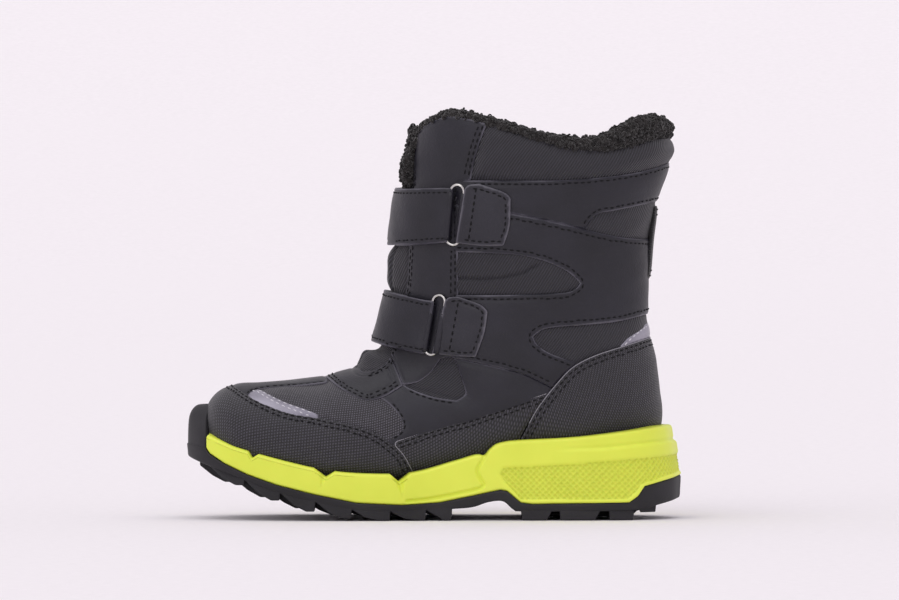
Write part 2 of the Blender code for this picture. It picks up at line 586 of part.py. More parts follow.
def cylinder(name, centre, direction, radius, length, sides=16):
    """A round bar as an object."""
    bm = bmesh.new()
    bmesh.ops.create_cone(bm, segments=sides, radius1=radius * MM, radius2=radius * MM,
                          depth=length * MM, cap_ends=True)
    turn = Vector((0, 0, 1)).rotation_difference(direction).to_matrix().to_4x4()
    bmesh.ops.transform(bm, matrix=Matrix.Translation(centre) @ turn, verts=bm.verts)
    return link(name, finish_mesh(bm, name))


def make_ring(name, bar):
    """An oval ring of round wire: two straight bars joined by half circles."""
    centre, up, normal, rear = bar_frame(bar, BAR_SPACING / 2)
    half, r = BAR_STRAIGHT / 2, BAR_SPACING / 2
    curve = bpy.data.curves.new(name, "CURVE")
    curve.dimensions = "3D"
    curve.bevel_depth = WIRE_R * MM
    curve.bevel_resolution = 2
    line = curve.splines.new("POLY")
    turn = [i * math.pi / 6 for i in range(7)]
    points = [(r * math.cos(a), half + r * math.sin(a)) for a in turn]
    points += [(-r * math.cos(a), -half - r * math.sin(a)) for a in turn]
    line.points.add(len(points) - 1)
    for point, (across, along) in zip(line.points, points):
        point.co = (*(centre + (rear * across + up * along) * MM), 1)
    line.use_cyclic_u = True
    return wire_steel(hang(link(name, curve), centre + rear * r * MM))


def strap_outlines(bar, top_front, low_front, top_side, low_side, end):
    """The strap's outline in side view: on the medial side it ends at the ring's bar,
    and on the lateral side at x = end. Returns (medial, lateral) outlines."""
    x, z, lean = bar
    half = EYE_LENGTH / 2
    top, low = (x + lean * half, z + half), (x - lean * half, z - half)
    medial = [top_front, (top[0] - 3.2, top_side), top, low, (low[0] - 3.2, low_side), low_front]
    lateral = [top_front, (0.0, top_side), (end - 4, top_side - 2), (end, top_side - 7)]
    lateral += [(end, low_side + 3), (end - 4, low_side - 2), (0.0, low_side), low_front]
    return medial, lateral


def fold_axis(low_z, high_z):
    """A point on the axis about which a strap's end opens, and the axis's direction."""
    low, high = (wall_point(FLAP[1] + FOLD_OUT, STRAP_FOLD_X, z, 1)[0] for z in (low_z, high_z))
    return (low + high) / 2, (high - low).normalized()


def strap_layer(name, layer, outlines):
    """A strap's layer that goes from the medial outline round the front to the lateral."""
    medial, lateral = outlines
    sleeve = prism(name + "_medial", medial, (-FAR, 0.5))
    carve(sleeve, "UNION", prism(name + "_lateral", lateral, (-0.5, FAR)))
    return carve(link(name, shell_mesh(layer)), "INTERSECT", sleeve)


def make_strap(prefix, bar, outlines, anchor):
    """One hook-and-loop strap with its ring, the keeper that holds the ring, the sewn
    under run, the free layer in two links and the two patches that grip each other."""
    medial, lateral = outlines
    make_ring(prefix + "_ring", bar)
    eye, up, _, _ = bar_frame(bar)
    bore = as_cutter(cylinder(f"cut_{prefix}_bore", eye, up, EYE_BORE_R, 40.0))
    far_x = lateral[3][0]
    low_z, high_z = anchor

    short = [(px - 2.6, pz) if px > bar[0] - 4 else (px, pz) for px, pz in medial]
    longer = [(px + 7.0, pz) if px > 20 else (px, pz) for px, pz in lateral]
    synthetic_leather(strap_layer(prefix + "_under_run", UNDER_RUN, (short, longer)))

    span = strap_layer(prefix + "_strap_span", FLAP, outlines)
    tube = as_cutter(cylinder(f"cut_{prefix}_eye", eye, up, EYE_R, EYE_LENGTH))
    carve(span, "UNION", tube)
    carve(span, "DIFFERENCE", bore)
    beyond = box(f"{prefix}_beyond", (STRAP_FOLD_X - GAP / 2, 10, 0), (FAR, FAR, 190))
    synthetic_leather(hang(carve(span, "DIFFERENCE", beyond), eye))
    rest = box(f"{prefix}_rest", (STRAP_FOLD_X + GAP / 2, 10, 0), (FAR, FAR, 190))
    tip = link(prefix + "_strap_end", shell_mesh(FLAP))
    carve(tip, "INTERSECT", prism(prefix + "_end", lateral, (10, FAR)), rest)
    fold, _ = fold_axis(low_z - 2, high_z + 2)
    synthetic_leather(hang(tip, fold))

    patch = [(2.0, low_z), (far_x - 6, low_z), (far_x - 6, high_z), (2.0, high_z)]
    for kind, layer in (("loop_patch", LOOP_PATCH), ("hook_patch", HOOK_PATCH)):
        obj = panel(f"{prefix}_{kind}", layer, patch, "lateral")[0]
        obj.name = f"{prefix}_{kind}"
        webbing(obj if kind == "loop_patch" else hang(obj, fold))

    hold, up, _, _ = bar_frame(bar, BAR_SPACING)
    x, z, lean = bar
    half = EYE_LENGTH / 2
    x += BAR_SPACING
    tab = [(x + lean * half, z + half), (x + 8.0, z + 15.2), (x + 20.0, z + 10.4)]
    tab += [(x + 21.8, z + 7.0), (x + 18.6, z - 12.4), (x + 4.0, z - 12.6)]
    tab += [(x - lean * half, z - half)]
    keeper = panel(prefix + "_keeper", KEEPER, tab, "medial")[0]
    keeper.name = prefix + "_keeper"
    tube = as_cutter(cylinder(f"cut_{prefix}_hold", hold, up, EYE_R, EYE_LENGTH))
    bore = as_cutter(cylinder(f"cut_{prefix}_hold_bore", hold, up, EYE_BORE_R, 40.0))
    carve(keeper, "UNION", tube)
    synthetic_leather(carve(keeper, "DIFFERENCE", bore))


def make_straps():
    """The two straps over the instep."""
    upper = strap_outlines(UPPER_BAR, (-32.0, 145.2), (-32.0, 121.4), 147.4, 123.3, 34.0)
    make_strap("upper", UPPER_BAR, upper, (126.0, 142.0))
    lower = strap_outlines(LOWER_BAR, (-36.0, 105.0), (-36.0, 79.0), 98.0, 73.8, 30.0)
    make_strap("lower", LOWER_BAR, lower, (75.0, 90.0))


def main():
    for obj in list(bpy.data.objects):
        bpy.data.objects.remove(obj)
    make_toe()
    make_throat()
    make_quarters()
    make_heel()
    make_collar()
    make_insoles()
    make_sole()
    make_straps()


main()
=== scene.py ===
"""The looks of a child's winter hiking boot, made over its CAD model in the same frame.

Lengths are in millimetres and are turned to metres where a mesh is made. X runs along
the foot with the toe towards -X, +Y is the outer (lateral) side and +Z is up.
"""

import json
import math

import bmesh
import bpy
import numpy as np
from mathutils import Matrix, Vector, noise
from mathutils.bvhtree import BVHTree
from mathutils.kdtree import KDTree


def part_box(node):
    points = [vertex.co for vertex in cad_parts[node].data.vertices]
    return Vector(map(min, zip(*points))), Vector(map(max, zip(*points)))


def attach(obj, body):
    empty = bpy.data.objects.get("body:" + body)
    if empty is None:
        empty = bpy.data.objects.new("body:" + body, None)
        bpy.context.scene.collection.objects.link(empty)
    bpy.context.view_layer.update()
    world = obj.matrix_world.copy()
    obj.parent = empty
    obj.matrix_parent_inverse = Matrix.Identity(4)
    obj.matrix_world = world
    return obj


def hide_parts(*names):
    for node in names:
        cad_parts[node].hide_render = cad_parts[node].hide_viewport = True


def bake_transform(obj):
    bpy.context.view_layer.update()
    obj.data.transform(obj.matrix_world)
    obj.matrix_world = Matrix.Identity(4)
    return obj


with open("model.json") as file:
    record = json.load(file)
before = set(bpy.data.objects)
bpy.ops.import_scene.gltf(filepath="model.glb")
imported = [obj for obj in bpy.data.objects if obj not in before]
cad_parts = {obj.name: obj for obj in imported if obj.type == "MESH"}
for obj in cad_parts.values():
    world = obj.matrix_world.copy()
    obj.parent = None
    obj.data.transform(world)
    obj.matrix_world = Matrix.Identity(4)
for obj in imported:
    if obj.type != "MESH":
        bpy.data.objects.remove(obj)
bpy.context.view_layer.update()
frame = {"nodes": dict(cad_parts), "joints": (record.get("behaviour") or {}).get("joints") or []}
MM = 0.001
CELL = 1.0  # the mesh spacing of the upper's pieces
RIM = 1.1  # how far from a panel's edge its painted edge highlight fades out
ON_LINE = 0.8  # an edge this near a line is on it
STITCH_SUNK = 0.05  # how deep a stitch is pulled into the surface
MOUTH_GAP = 12.3  # half the opening between the facings' tops
CURL_SUNK, ROLL_STEPS = 0.2, 44  # curls in the pile, and points round a roll of it
RING_SIDE, RING_WIRE = 20.7, 0.62  # a ring's straight side and its wire's radius
FOLD_RADIUS, FOLD_LENGTH = 1.55, 21.4  # a strap's fold round a ring's bar
ROOT = "boot"

# The upper's surface is a loft of closed loops, fanned out from the foot to the shaft.
# Each row: front or top point (x, z), back or bottom point (x, z), medial and lateral
# half widths, the loop's centre y, where along the loop it is widest, and the
# roundness (superellipse power) of the front half and of the back half.
LOOPS = (
    (-102, 40, -102, 40, 0, 0, -5, 0.52, 2.2, 2.4),
    (-101.6, 47, -101, 33, 9, 10, -5, 0.55, 2.3, 2.6),
    (-99.5, 52.3, -98.5, 29, 18.5, 19, -4.5, 0.57, 2.3, 3),
    (-95, 56.8, -93, 26, 25.5, 25.5, -4, 0.60, 2.3, 3.3),
    (-88, 59.8, -86, 23.5, 31, 30.5, -3.2, 0.62, 2.3, 3.5),
    (-77, 60.2, -74, 19.8, 34.5, 35, -2, 0.63, 2.3, 3.5),
    (-62, 61.5, -58, 16.5, 36.5, 37.5, -0.5, 0.64, 2.2, 3.5),
    (-47, 63.6, -40, 14.5, 37, 38.5, 0, 0.64, 2.2, 3.5),
    (-36, 66.6, -18, 13.8, 35.5, 38, 0.5, 0.62, 2.1, 3.3),
    (-29, 70.5, 8, 15, 33.5, 36, 0.8, 0.58, 2.1, 3),
    (-25, 74.5, 35, 17, 32, 34.5, 0.8, 0.55, 2.1, 2.7),
    (-22.6, 80, 65, 19, 31.5, 33, 0.5, 0.52, 2.1, 2.4),
    (-20.6, 87, 90, 22.5, 32, 32.5, 0, 0.50, 2.2, 2.2),
    (-18.6, 95, 100.5, 40, 32.5, 33, 0, 0.48, 2.2, 2.1),
    (-17.2, 103, 99.3, 63, 33, 33.5, 0, 0.47, 2.2, 2.1),
    (-16.8, 112, 95.8, 87, 34, 34.5, 0, 0.47, 2.2, 2.1),
    (-16, 122, 95.7, 108, 35.5, 36, 0, 0.47, 2.2, 2.2),
    (-14.4, 134, 97, 127, 37, 37.5, 0, 0.47, 2.2, 2.2),
    (-12.7, 146, 100.3, 144, 38.5, 39, 0, 0.48, 2.2, 2.2),
    (-11.8, 158, 105, 157, 39.5, 40, 0, 0.48, 2.2, 2.2),
    (-9.5, 171, 106, 170, 40, 40.5, 0, 0.48, 2.2, 2.2),
    (-6, 186, 105.5, 186, 40, 40.5, 0, 0.48, 2.2, 2.2),
)
ROWS = np.array(LOOPS)


# ---------------------------------------------------------------- curves and surface


def curve_point(a, b, c, d, t):
    """The point at share t from b to c, smoothed by their neighbours (Catmull-Rom)."""
    return 0.5 * (2 * b + (c - a) * t + (2 * a - 5 * b + 4 * c - d) * t**2
                  + (3 * b - a - 3 * c + d) * t**3)


def spline(points, step=1.0):
    """A Catmull-Rom curve through the points, with about this many mm to a step."""
    p = np.array(points, float)
    if len(p) == 2:
        count = max(2, int(np.linalg.norm(p[1] - p[0]) / step) + 1)
        return p[0] + np.linspace(0, 1, count)[:, None] * (p[1] - p[0])
    p = np.vstack([2 * p[0] - p[1], p, 2 * p[-1] - p[-2]])
    runs = []
    for a, b, c, d in zip(p, p[1:], p[2:], p[3:]):
        count = max(1, int(np.linalg.norm(c - b) / step))
        t = np.linspace(0, 1, count, endpoint=False)[:, None]
        runs.append(curve_point(a, b, c, d, t))
    return np.vstack([*runs, p[-2][None]])


def outline_of(*lines):
    """One closed outline from curves that meet end to end, each smoothed on its own."""
    return np.vstack([spline(line)[:-1] if len(line) > 1 else line for line in lines])


def line_distance(points, line, closed=False):
    """How far each (x, z) point is from a line, in mm."""
    line = np.asarray(line, float)
    ends = np.roll(line, -1, axis=0) if closed else line[1:]
    starts = line if closed else line[:-1]
    flat = points.reshape(-1, 2)
    best = np.full(len(flat), 1e9)
    for a, b in zip(starts, ends):
        way = b - a
        size = way @ way
        if size == 0:
            continue
        t = np.clip(((flat - a) @ way) / size, 0, 1)
        best = np.minimum(best, ((flat - a - t[:, None] * way) ** 2).sum(1))
    return np.sqrt(best).reshape(points.shape[:-1])


def depth_inside(points, outline):
    """Distance to a closed outline, positive inside it and negative outside."""
    flat = points.reshape(-1, 2)
    crossings = np.zeros(len(flat), int)
    for a, b in zip(outline, np.roll(outline, -1, axis=0)):
        spans = (a[1] > flat[:, 1]) != (b[1] > flat[:, 1])
        if a[1] != b[1]:
            at = a[0] + (flat[:, 1] - a[1]) * (b[0] - a[0]) / (b[1] - a[1])
            crossings += spans & (flat[:, 0] < at)
    sign = np.where(crossings % 2 == 1, 1.0, -1.0).reshape(points.shape[:-1])
    return sign * line_distance(points, outline, closed=True)


def rows_at(u):
    """The loft's rows blended smoothly at parameters u, from 0 at the toe."""
    table = np.vstack([2 * ROWS[0] - ROWS[1], ROWS, 2 * ROWS[-1] - ROWS[-2]])
    index = np.clip(np.floor(u).astype(int), 0, len(ROWS) - 2)
    t = (u - index)[..., None]
    a, b, c, d = (table[index + k] for k in range(4))
    return curve_point(a, b, c, d, t)


def surface(u, turn, out):
    """Points of the upper's surface in mm. u runs from the toe up the shaft, turn goes
    round from the front by the medial side, and out is how far outside it they lie."""
    row = rows_at(u)
    ahead, behind = rows_at(u + 0.02), rows_at(u - 0.02)
    points = []
    for first, sign in ((0, 1), (2, -1)):
        way = ahead[..., first:first + 2] - behind[..., first:first + 2]
        way = way / np.maximum(np.linalg.norm(way, axis=-1, keepdims=True), 1e-9)
        normal = np.stack([-way[..., 1], way[..., 0]], axis=-1) * sign
        points.append(row[..., first:first + 2] + normal * out[..., None])
    front, back = points
    medial, lateral, centre, widest, power_f, power_b = np.moveaxis(row[..., 4:], -1, 0)
    cos, sin = np.cos(turn), np.sin(turn)
    power = np.where(cos >= 0, power_f, power_b)
    reach = np.abs(cos) ** (2 / power)
    along = np.where(cos >= 0, widest * (1 - reach), widest + (1 - widest) * reach)
    half = np.where(sin >= 0, medial, lateral) + out * np.clip(u, 0, 1)
    y = centre - np.sign(sin) * half * np.abs(sin) ** (2 / power)
    xz = front + along[..., None] * (back - front)
    return np.stack([xz[..., 0], y, xz[..., 1]], axis=-1)


def even_steps():
    """Loft parameters spaced about a cell apart on the longer side of the fan."""
    steps = []
    for i in range(len(ROWS) - 1):
        change = np.abs(ROWS[i + 1] - ROWS[i])
        longest = max(math.hypot(*change[0:2]), math.hypot(*change[2:4]), change[4])
        steps.append(i + np.linspace(0, 1, max(2, int(longest / CELL)), endpoint=False))
    return np.append(np.concatenate(steps), len(ROWS) - 1)


GRID_U = even_steps()
GRID_TURN = np.linspace(0, 2 * math.pi, 305)
HALF = len(GRID_TURN) // 2  # the step at the back


def grid_with_arcs(turns):
    """The whole surface on a grid, with its arc lengths round and along, in mm."""
    u, turn = np.meshgrid(GRID_U, turns, indexing="ij")
    points = surface(u, turn, np.zeros_like(u))
    round_steps = np.linalg.norm(np.diff(points, axis=1), axis=-1)
    along_steps = np.linalg.norm(np.diff(points, axis=0), axis=-1)
    around = np.pad(np.cumsum(round_steps, axis=1), ((0, 0), (1, 0)))
    along = np.pad(np.cumsum(along_steps, axis=0), ((1, 0), (0, 0)))
    front = int(np.argmin(np.abs(turns)))
    return u, turn, points, around - around[:, front:front + 1], along


# Grids whose open seam is at the front, and at the back (or under the foot).
SPANS = {"front_seam": grid_with_arcs(GRID_TURN)}
SPANS["back_seam"] = grid_with_arcs(GRID_TURN - math.pi)
SPANS["medial"] = tuple(a[:, :HALF + 1] for a in SPANS["front_seam"])
SPANS["lateral"] = tuple(a[:, HALF:] for a in SPANS["front_seam"])


# ---------------------------------------------------------------- mesh helpers


def link(name, mesh, material, rides=ROOT):
    """A finished piece: its mesh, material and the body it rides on."""
    obj = bpy.data.objects.new(name, mesh)
    bpy.context.scene.collection.objects.link(obj)
    for one in material if isinstance(material, (list, tuple)) else (material,):
        obj.data.materials.append(one)
    if rides:
        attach(obj, rides)
    return obj


def mesh_of(bm, name, smooth=True):
    """Makes a mesh of a bmesh whose points are in metres."""
    for face in bm.faces:
        face.smooth = smooth
    mesh = bpy.data.meshes.new(name)
    bm.to_mesh(mesh)
    bm.free()
    return mesh


def thicken(obj, thickness):
    """Gives a sheet its wall thickness, in mm, inwards."""
    solid = obj.modifiers.new("Wall", "SOLIDIFY")
    solid.thickness = thickness * MM
    solid.offset = -1.0
    solid.use_even_offset = False
    return obj


def walled(name, bm, material, rides, wall):
    """A sheet linked under its name, with its wall thickness in mm."""
    return thicken(link(name, mesh_of(bm, name), material, rides), wall)


def snapped(depth, rows, cols):
    """Moves grid points beside an outline onto it. Returns the moved row and column
    positions and which points are kept."""
    best = np.full(depth.shape, 0.5)
    row, col = rows.copy(), cols.copy()
    moved = np.zeros(depth.shape, bool)
    for axis, step in ((0, 1), (0, -1), (1, 1), (1, -1)):
        other = np.roll(depth, -step, axis)
        edge = np.arange(depth.shape[axis]) == (depth.shape[axis] - 1 if step == 1 else 0)
        at_edge = edge[:, None] if axis == 0 else edge[None, :]
        share = np.abs(depth) / np.maximum(np.abs(depth) + np.abs(other), 1e-12)
        take = (depth * other < 0) & ~at_edge & (share <= best)
        best = np.where(take, share, best)
        row = np.where(take, rows + (share * step if axis == 0 else 0), row)
        col = np.where(take, cols + (share * step if axis == 1 else 0), col)
        moved |= take
    return row, col, moved | (depth > 0)


def sample(field, row, col):
    """A grid field at fractional positions."""
    i = np.clip(np.floor(row).astype(int), 0, field.shape[0] - 2)
    j = np.clip(np.floor(col).astype(int), 0, field.shape[1] - 2)
    s, t = row - i, col - j
    return ((1 - s) * (1 - t) * field[i, j] + s * (1 - t) * field[i + 1, j]
            + (1 - s) * t * field[i, j + 1] + s * t * field[i + 1, j + 1])


def cut_sheet(outline, span, out, shape=None, keep_also=None):
    """A sheet of the upper's surface inside a side-view outline, as a bmesh. out is its
    distance from the surface; shape(edge, points) adds relief, where edge is each
    point's distance to the sheet's edge. keep_also(points) can hold back more."""
    u, turn, points, around, along = SPANS[span]
    low, high = outline.min(0) - 3, outline.max(0) + 3
    hit = (points[..., 0] > low[0]) & (points[..., 0] < high[0])
    hit &= (points[..., 2] > low[1]) & (points[..., 2] < high[1])
    i, j = np.where(hit.any(1))[0], np.where(hit.any(0))[0]
    part = np.s_[i[0]:i[-1] + 1, j[0]:j[-1] + 1]
    u, turn, points, around, along = (a[part] for a in (u, turn, points, around, along))
    depth = depth_inside(points[..., [0, 2]], outline)
    if keep_also:
        depth = np.minimum(depth, keep_also(points))
    rows, cols = np.meshgrid(*(np.arange(n, dtype=float) for n in depth.shape), indexing="ij")
    row, col, kept = snapped(depth, rows, cols)
    u, turn, around, along = (sample(a, row, col) for a in (u, turn, around, along))
    flat = surface(u, turn, np.zeros_like(u))

    n, m = depth.shape
    bm = bmesh.new()
    rim = bm.verts.layers.float.new("rim")
    bmesh.ops.create_grid(bm, x_segments=n - 1, y_segments=m - 1, size=0.5)
    uv = bm.loops.layers.uv.new("UVMap")
    place = {}
    outside = set()
    for vert in bm.verts:
        a, b = round((vert.co.x + 0.5) * (n - 1)), round((vert.co.y + 0.5) * (m - 1))
        place[vert] = (a, b)
        vert.co = flat[a, b] * MM
        if not kept[a, b]:
            outside.add(vert)
    for face in list(bm.faces):
        left = [v for v in face.verts if v not in outside]
        if len(left) == 3:
            bm.faces.new(left)
    bmesh.ops.delete(bm, geom=list(outside), context="VERTS")
    loose = [v for v in bm.verts if not v.link_faces]
    bmesh.ops.delete(bm, geom=loose, context="VERTS")
    for face in bm.faces:
        for loop in face.loops:
            at = place[loop.vert]
            loop[uv].uv = (around[at], along[at])
    bm.normal_update()
    centre = Vector(ROWS[12, [0, 6, 1]] * MM) + Vector((0.055, 0, -0.02))
    facing = sum(f.normal.dot(f.calc_center_median() - centre) for f in bm.faces)
    if facing < 0:
        bmesh.ops.reverse_faces(bm, faces=bm.faces)

    verts = list(bm.verts)
    at = tuple(np.array([place[v] for v in verts]).T)
    edge = edge_distance(bm, verts)
    # The rim layer runs from 1 at the sheet's edge to 0 a RIM inside it; the leather paints its
    # edge highlight from it.
    for vert, far in zip(verts, edge):
        vert[rim] = max(0.0, 1.0 - far / RIM)
    rise = np.full(len(verts), float(out))
    if shape:
        rise = rise + shape(edge, flat[at])
    final = surface(u[at], turn[at], rise)
    for vert, point in zip(verts, final):
        vert.co = point * MM
    bm.normal_update()
    return bm


def edge_distance(bm, verts):
    """Each vertex's distance to the sheet's edge, in mm."""
    rim = [v for v in bm.verts if v.is_boundary]
    tree = KDTree(len(rim))
    for index, vert in enumerate(rim):
        tree.insert(vert.co, index)
    tree.balance()
    return np.array([tree.find(v.co)[2] for v in verts]) / MM


def edge_runs(bm, lines):
    """Runs of the sheet's edge that lie on any of the side-view lines, each a list of
    (point, normal)."""
    after = {}
    for edge in bm.edges:
        if edge.is_boundary:
            loop = edge.link_loops[0]
            after[loop.vert] = loop.link_loop_next.vert
    runs = []
    while after:
        start = next(iter(after))
        chain = [start]
        while chain[-1] in after:
            chain.append(after.pop(chain[-1]))
            if chain[-1] is start:
                break
        points = np.array([v.co for v in chain]) / MM
        near = np.zeros(len(chain), bool)
        for line in lines:
            near |= line_distance(points[:, [0, 2]], line) < ON_LINE
        if chain[-1] is chain[0] and not near.all():
            first = int(np.argmin(near))
            order = [(first + k) % (len(chain) - 1) for k in range(len(chain) - 1)]
            chain, near = [chain[k] for k in order], near[order]
        run = []
        for vert, ok in zip([*chain, None], [*near, False]):
            if ok:
                run.append(vert)
                continue
            if len(run) > 3:
                runs.append([(v.co.copy(), v.normal.copy()) for v in run])
            run = []
    return runs


def stitch_places(bm, lines, inset, pitch):
    """Where the stitches of a seam lie: inset mm inside the sheet's edge, along lines.
    Returns a matrix for each, with X along the seam and Z out of the surface."""
    tree = BVHTree.FromBMesh(bm)
    places = []
    for run in edge_runs(bm, lines):
        points = [p for p, _ in run]
        for _ in range(2):
            points = [points[0], *[(a + b + c) / 3 for a, b, c in
                                   zip(points, points[1:], points[2:])], points[-1]]
        path = []
        for k, point in enumerate(points):
            tangent = points[min(k + 1, len(points) - 1)] - points[max(k - 1, 0)]
            inward = run[k][1].cross(tangent)
            if inward.length:
                path.append(point + inward.normalized() * inset * MM)
        travelled, wanted = 0.0, pitch * MM
        for a, b in zip(path, path[1:]):
            step = (b - a).length
            while step and travelled + step >= wanted:
                share = (wanted - travelled) / step
                centre, normal, *_ = tree.find_nearest(a.lerp(b, share))
                way = (b - a).normalized()
                side = normal.cross(way).normalized()
                matrix = Matrix((way, side, normal)).transposed().to_4x4()
                matrix.translation = centre - normal * STITCH_SUNK * MM
                places.append(matrix)
                wanted += pitch * MM
            travelled += step
    return places


def scatter(name, template, places, material, rides=ROOT):
    """One piece made of a small template mesh repeated at each place."""
    points = np.array([v.co for v in template.vertices])
    faces = np.array([p.vertices[:] for p in template.polygons])
    moves = np.array([np.array(m) for m in places])
    stacked = np.einsum("nij,vj->nvi", moves[:, :3, :3], points) + moves[:, None, :3, 3]
    index = faces[None] + (np.arange(len(moves)) * len(points))[:, None, None]
    mesh = bpy.data.meshes.new(name)
    mesh.from_pydata(stacked.reshape(-1, 3), [], index.reshape(-1, faces.shape[1]))
    mesh.shade_smooth()
    return link(name, mesh, material, rides)


def stitch_template(length, radius):
    """One stitch: a low, rounded bead of thread lying along X."""
    bm = bmesh.new()
    bmesh.ops.create_icosphere(bm, subdivisions=1, radius=1)
    size = (length / 2 * MM, radius * MM, radius * 0.9 * MM)
    bmesh.ops.scale(bm, vec=size, verts=bm.verts)
    return mesh_of(bm, "stitch")


# ---------------------------------------------------------------- materials


def linear(colour):
    """An sRGB hex colour as linear RGBA."""
    parts = [int(colour[k:k + 2], 16) / 255 for k in (1, 3, 5)]
    return (*[c / 12.92 if c < 0.04045 else ((c + 0.055) / 1.055) ** 2.4 for c in parts], 1)


def add(tree, kind, stops=(), **settings):
    """Adds a node. A setting named for an input sets it, or links it if it is a socket;
    any other setting is the node's own. stops are a colour ramp's (position, hex)."""
    node = tree.nodes.new("ShaderNode" + kind)
    for key, value in settings.items():
        name = key.replace("_", " ")
        index = int(key[1:]) if key[0] == "i" and key[1:].isdigit() else None
        if index is None and hasattr(node, key):
            setattr(node, key, value)
            continue
        socket = node.inputs[index] if index is not None else next(
            s for s in node.inputs if s.name.lower() == name.lower() and s.enabled)
        if isinstance(value, bpy.types.NodeSocket):
            tree.links.new(value, socket)
        else:
            socket.default_value = value
    for number, (position, colour) in enumerate(stops):
        elements = node.color_ramp.elements
        element = elements[number] if number < 2 else elements.new(position)
        element.position, element.color = position, linear(colour)
    return node


def new_material(name, roughness, **settings):
    """A material with the shader's own constants set, its node tree and the socket that
    gives a point of the piece, in metres."""
    material = bpy.data.materials.new(name)
    material.use_nodes = True
    tree = material.node_tree
    shader = tree.nodes["Principled BSDF"]
    for key, value in {"Roughness": roughness, **settings}.items():
        shader.inputs[key.replace("_", " ")].default_value = value
    return material, tree, add(tree, "TexCoord").outputs["Object"]


def dressed(material, tint, height=None, strength=0.0, depth=0.0, gloss=None):
    """Links a material's colour, its roughness where that varies, and its bump, whose
    depth is in mm."""
    tree = material.node_tree
    shader = tree.nodes["Principled BSDF"]
    tree.links.new(tint, shader.inputs["Base Color"])
    if gloss:
        tree.links.new(gloss, shader.inputs["Roughness"])
    if height:
        bump = add(tree, "Bump", Height=height, Strength=strength, Distance=depth * MM)
        tree.links.new(bump.outputs["Normal"], shader.inputs["Normal"])
    return material


def mottled(name, roughness, clouds, stops, strength=0.0, depth=0.0, grain=None, **settings):
    """A material mottled by one noise, clouds, and raised by it or by a second, grain."""
    material, tree, place = new_material(name, roughness, **settings)
    patches = add(tree, "TexNoise", Vector=place, **clouds)
    tint = add(tree, "ValToRGB", stops, Fac=patches.outputs["Fac"]).outputs["Color"]
    raised = add(tree, "TexNoise", Vector=place, **grain) if grain else patches
    height = raised.outputs["Fac"] if depth else None
    return dressed(material, tint, height, strength, depth)


def leather_grain(name, dark, light, rim):
    """Polyurethane-coated synthetic leather: a fine pebbled emboss with a soft sheen. Its
    cut and turned edges are painted a little lighter: a painted highlight where they round over."""
    material, tree, place = new_material(name, 0.42, Specular_IOR_Level=0.42)
    pebbles = add(tree, "TexVoronoi", Vector=place, Scale=1150.0, Randomness=1.0)
    soft = add(tree, "TexNoise", Vector=place, Scale=420.0, Detail=4.0, Roughness=0.6)
    clouds = add(tree, "TexNoise", Vector=place, Scale=38.0, Detail=3.0)
    edge = add(tree, "Attribute", attribute_name="rim")
    # Painted highlight: the colour lightens towards the panel's edge, where the rolled edge
    # catches light.
    edge_highlight_share = add(tree, "Math", operation="MULTIPLY_ADD", i0=edge.outputs["Fac"], i1=0.45,
               i2=clouds.outputs["Fac"])
    tint = add(tree, "ValToRGB", ((0.3, dark), (0.7, light), (0.98, rim)), Fac=edge_highlight_share.outputs[0])
    gloss = add(tree, "MapRange", Value=soft.outputs["Fac"], To_Min=0.36, To_Max=0.52)
    height = add(tree, "Math", operation="ADD", i0=pebbles.outputs["Distance"],
                 i1=soft.outputs["Fac"])
    return dressed(material, tint.outputs["Color"], height.outputs[0], 0.35, 0.18,
                   gloss.outputs["Result"])


def woven(name, dark, light, pitch, roughness, twill=False):
    """Woven polyester: the threads' raised crossings at the pitch, in mm, on the cloth's
    UVs. A twill steps by half a thread on each row, so it shows only ribs that slant as
    they climb. The real pitch is under 1 mm; it is drawn coarser so that it shows."""
    material, tree, place = new_material(name, roughness, Sheen_Weight=0.15,
                                         Sheen_Roughness=0.5)
    cloth = add(tree, "SeparateXYZ", Vector=add(tree, "TexCoord").outputs["UV"])
    ways = [cloth.outputs["X"], cloth.outputs["Y"]]
    if twill:
        height = add(tree, "SeparateXYZ", Vector=place)
        slant = add(tree, "Math", operation="MULTIPLY_ADD", i0=height.outputs["Z"], i1=-600.0,
                    i2=ways[0])
        ways = [slant.outputs[0]]
    lifts = []
    for way in ways:
        turns = add(tree, "Math", operation="MULTIPLY", i0=way, i1=2 * math.pi / pitch)
        wave = add(tree, "Math", operation="SINE", i0=turns.outputs[0])
        lifts.append(add(tree, "MapRange", Value=wave.outputs[0], From_Min=-0.8, From_Max=0.9))
    lift = lifts[0] if twill else add(tree, "Math", operation="MULTIPLY",
                                      i0=lifts[0].outputs[0], i1=lifts[1].outputs[0])
    fuzz = add(tree, "TexNoise", Vector=place, Scale=700.0, Detail=2.0)
    mixed = add(tree, "Math", operation="MULTIPLY_ADD", i0=fuzz.outputs["Fac"], i1=0.3,
                i2=lift.outputs[0])
    # Painted highlight and painted shade: the raised crossings are coloured lighter and the gaps
    # between them darker, as light falls on the weave.
    tint = add(tree, "ValToRGB", ((0.12, dark), (0.95, light)), Fac=mixed.outputs[0])
    return dressed(material, tint.outputs["Color"], mixed.outputs[0], 0.8, 0.25)


def reflective():
    """Glass-bead reflective tape: silver grey, and beaded so finely that it glows."""
    material, tree, place = new_material("glass_bead_tape", 0.34, Metallic=0.35)
    beads = add(tree, "TexVoronoi", Vector=place, Scale=1600.0)
    clouds = add(tree, "TexNoise", Vector=place, Scale=60.0, Detail=2.0)
    tint = add(tree, "ValToRGB", ((0.3, "#7c7986"), (0.7, "#9a97a3")), Fac=clouds.outputs["Fac"])
    return dressed(material, tint.outputs["Color"], beads.outputs["Distance"], 0.3, 0.2)


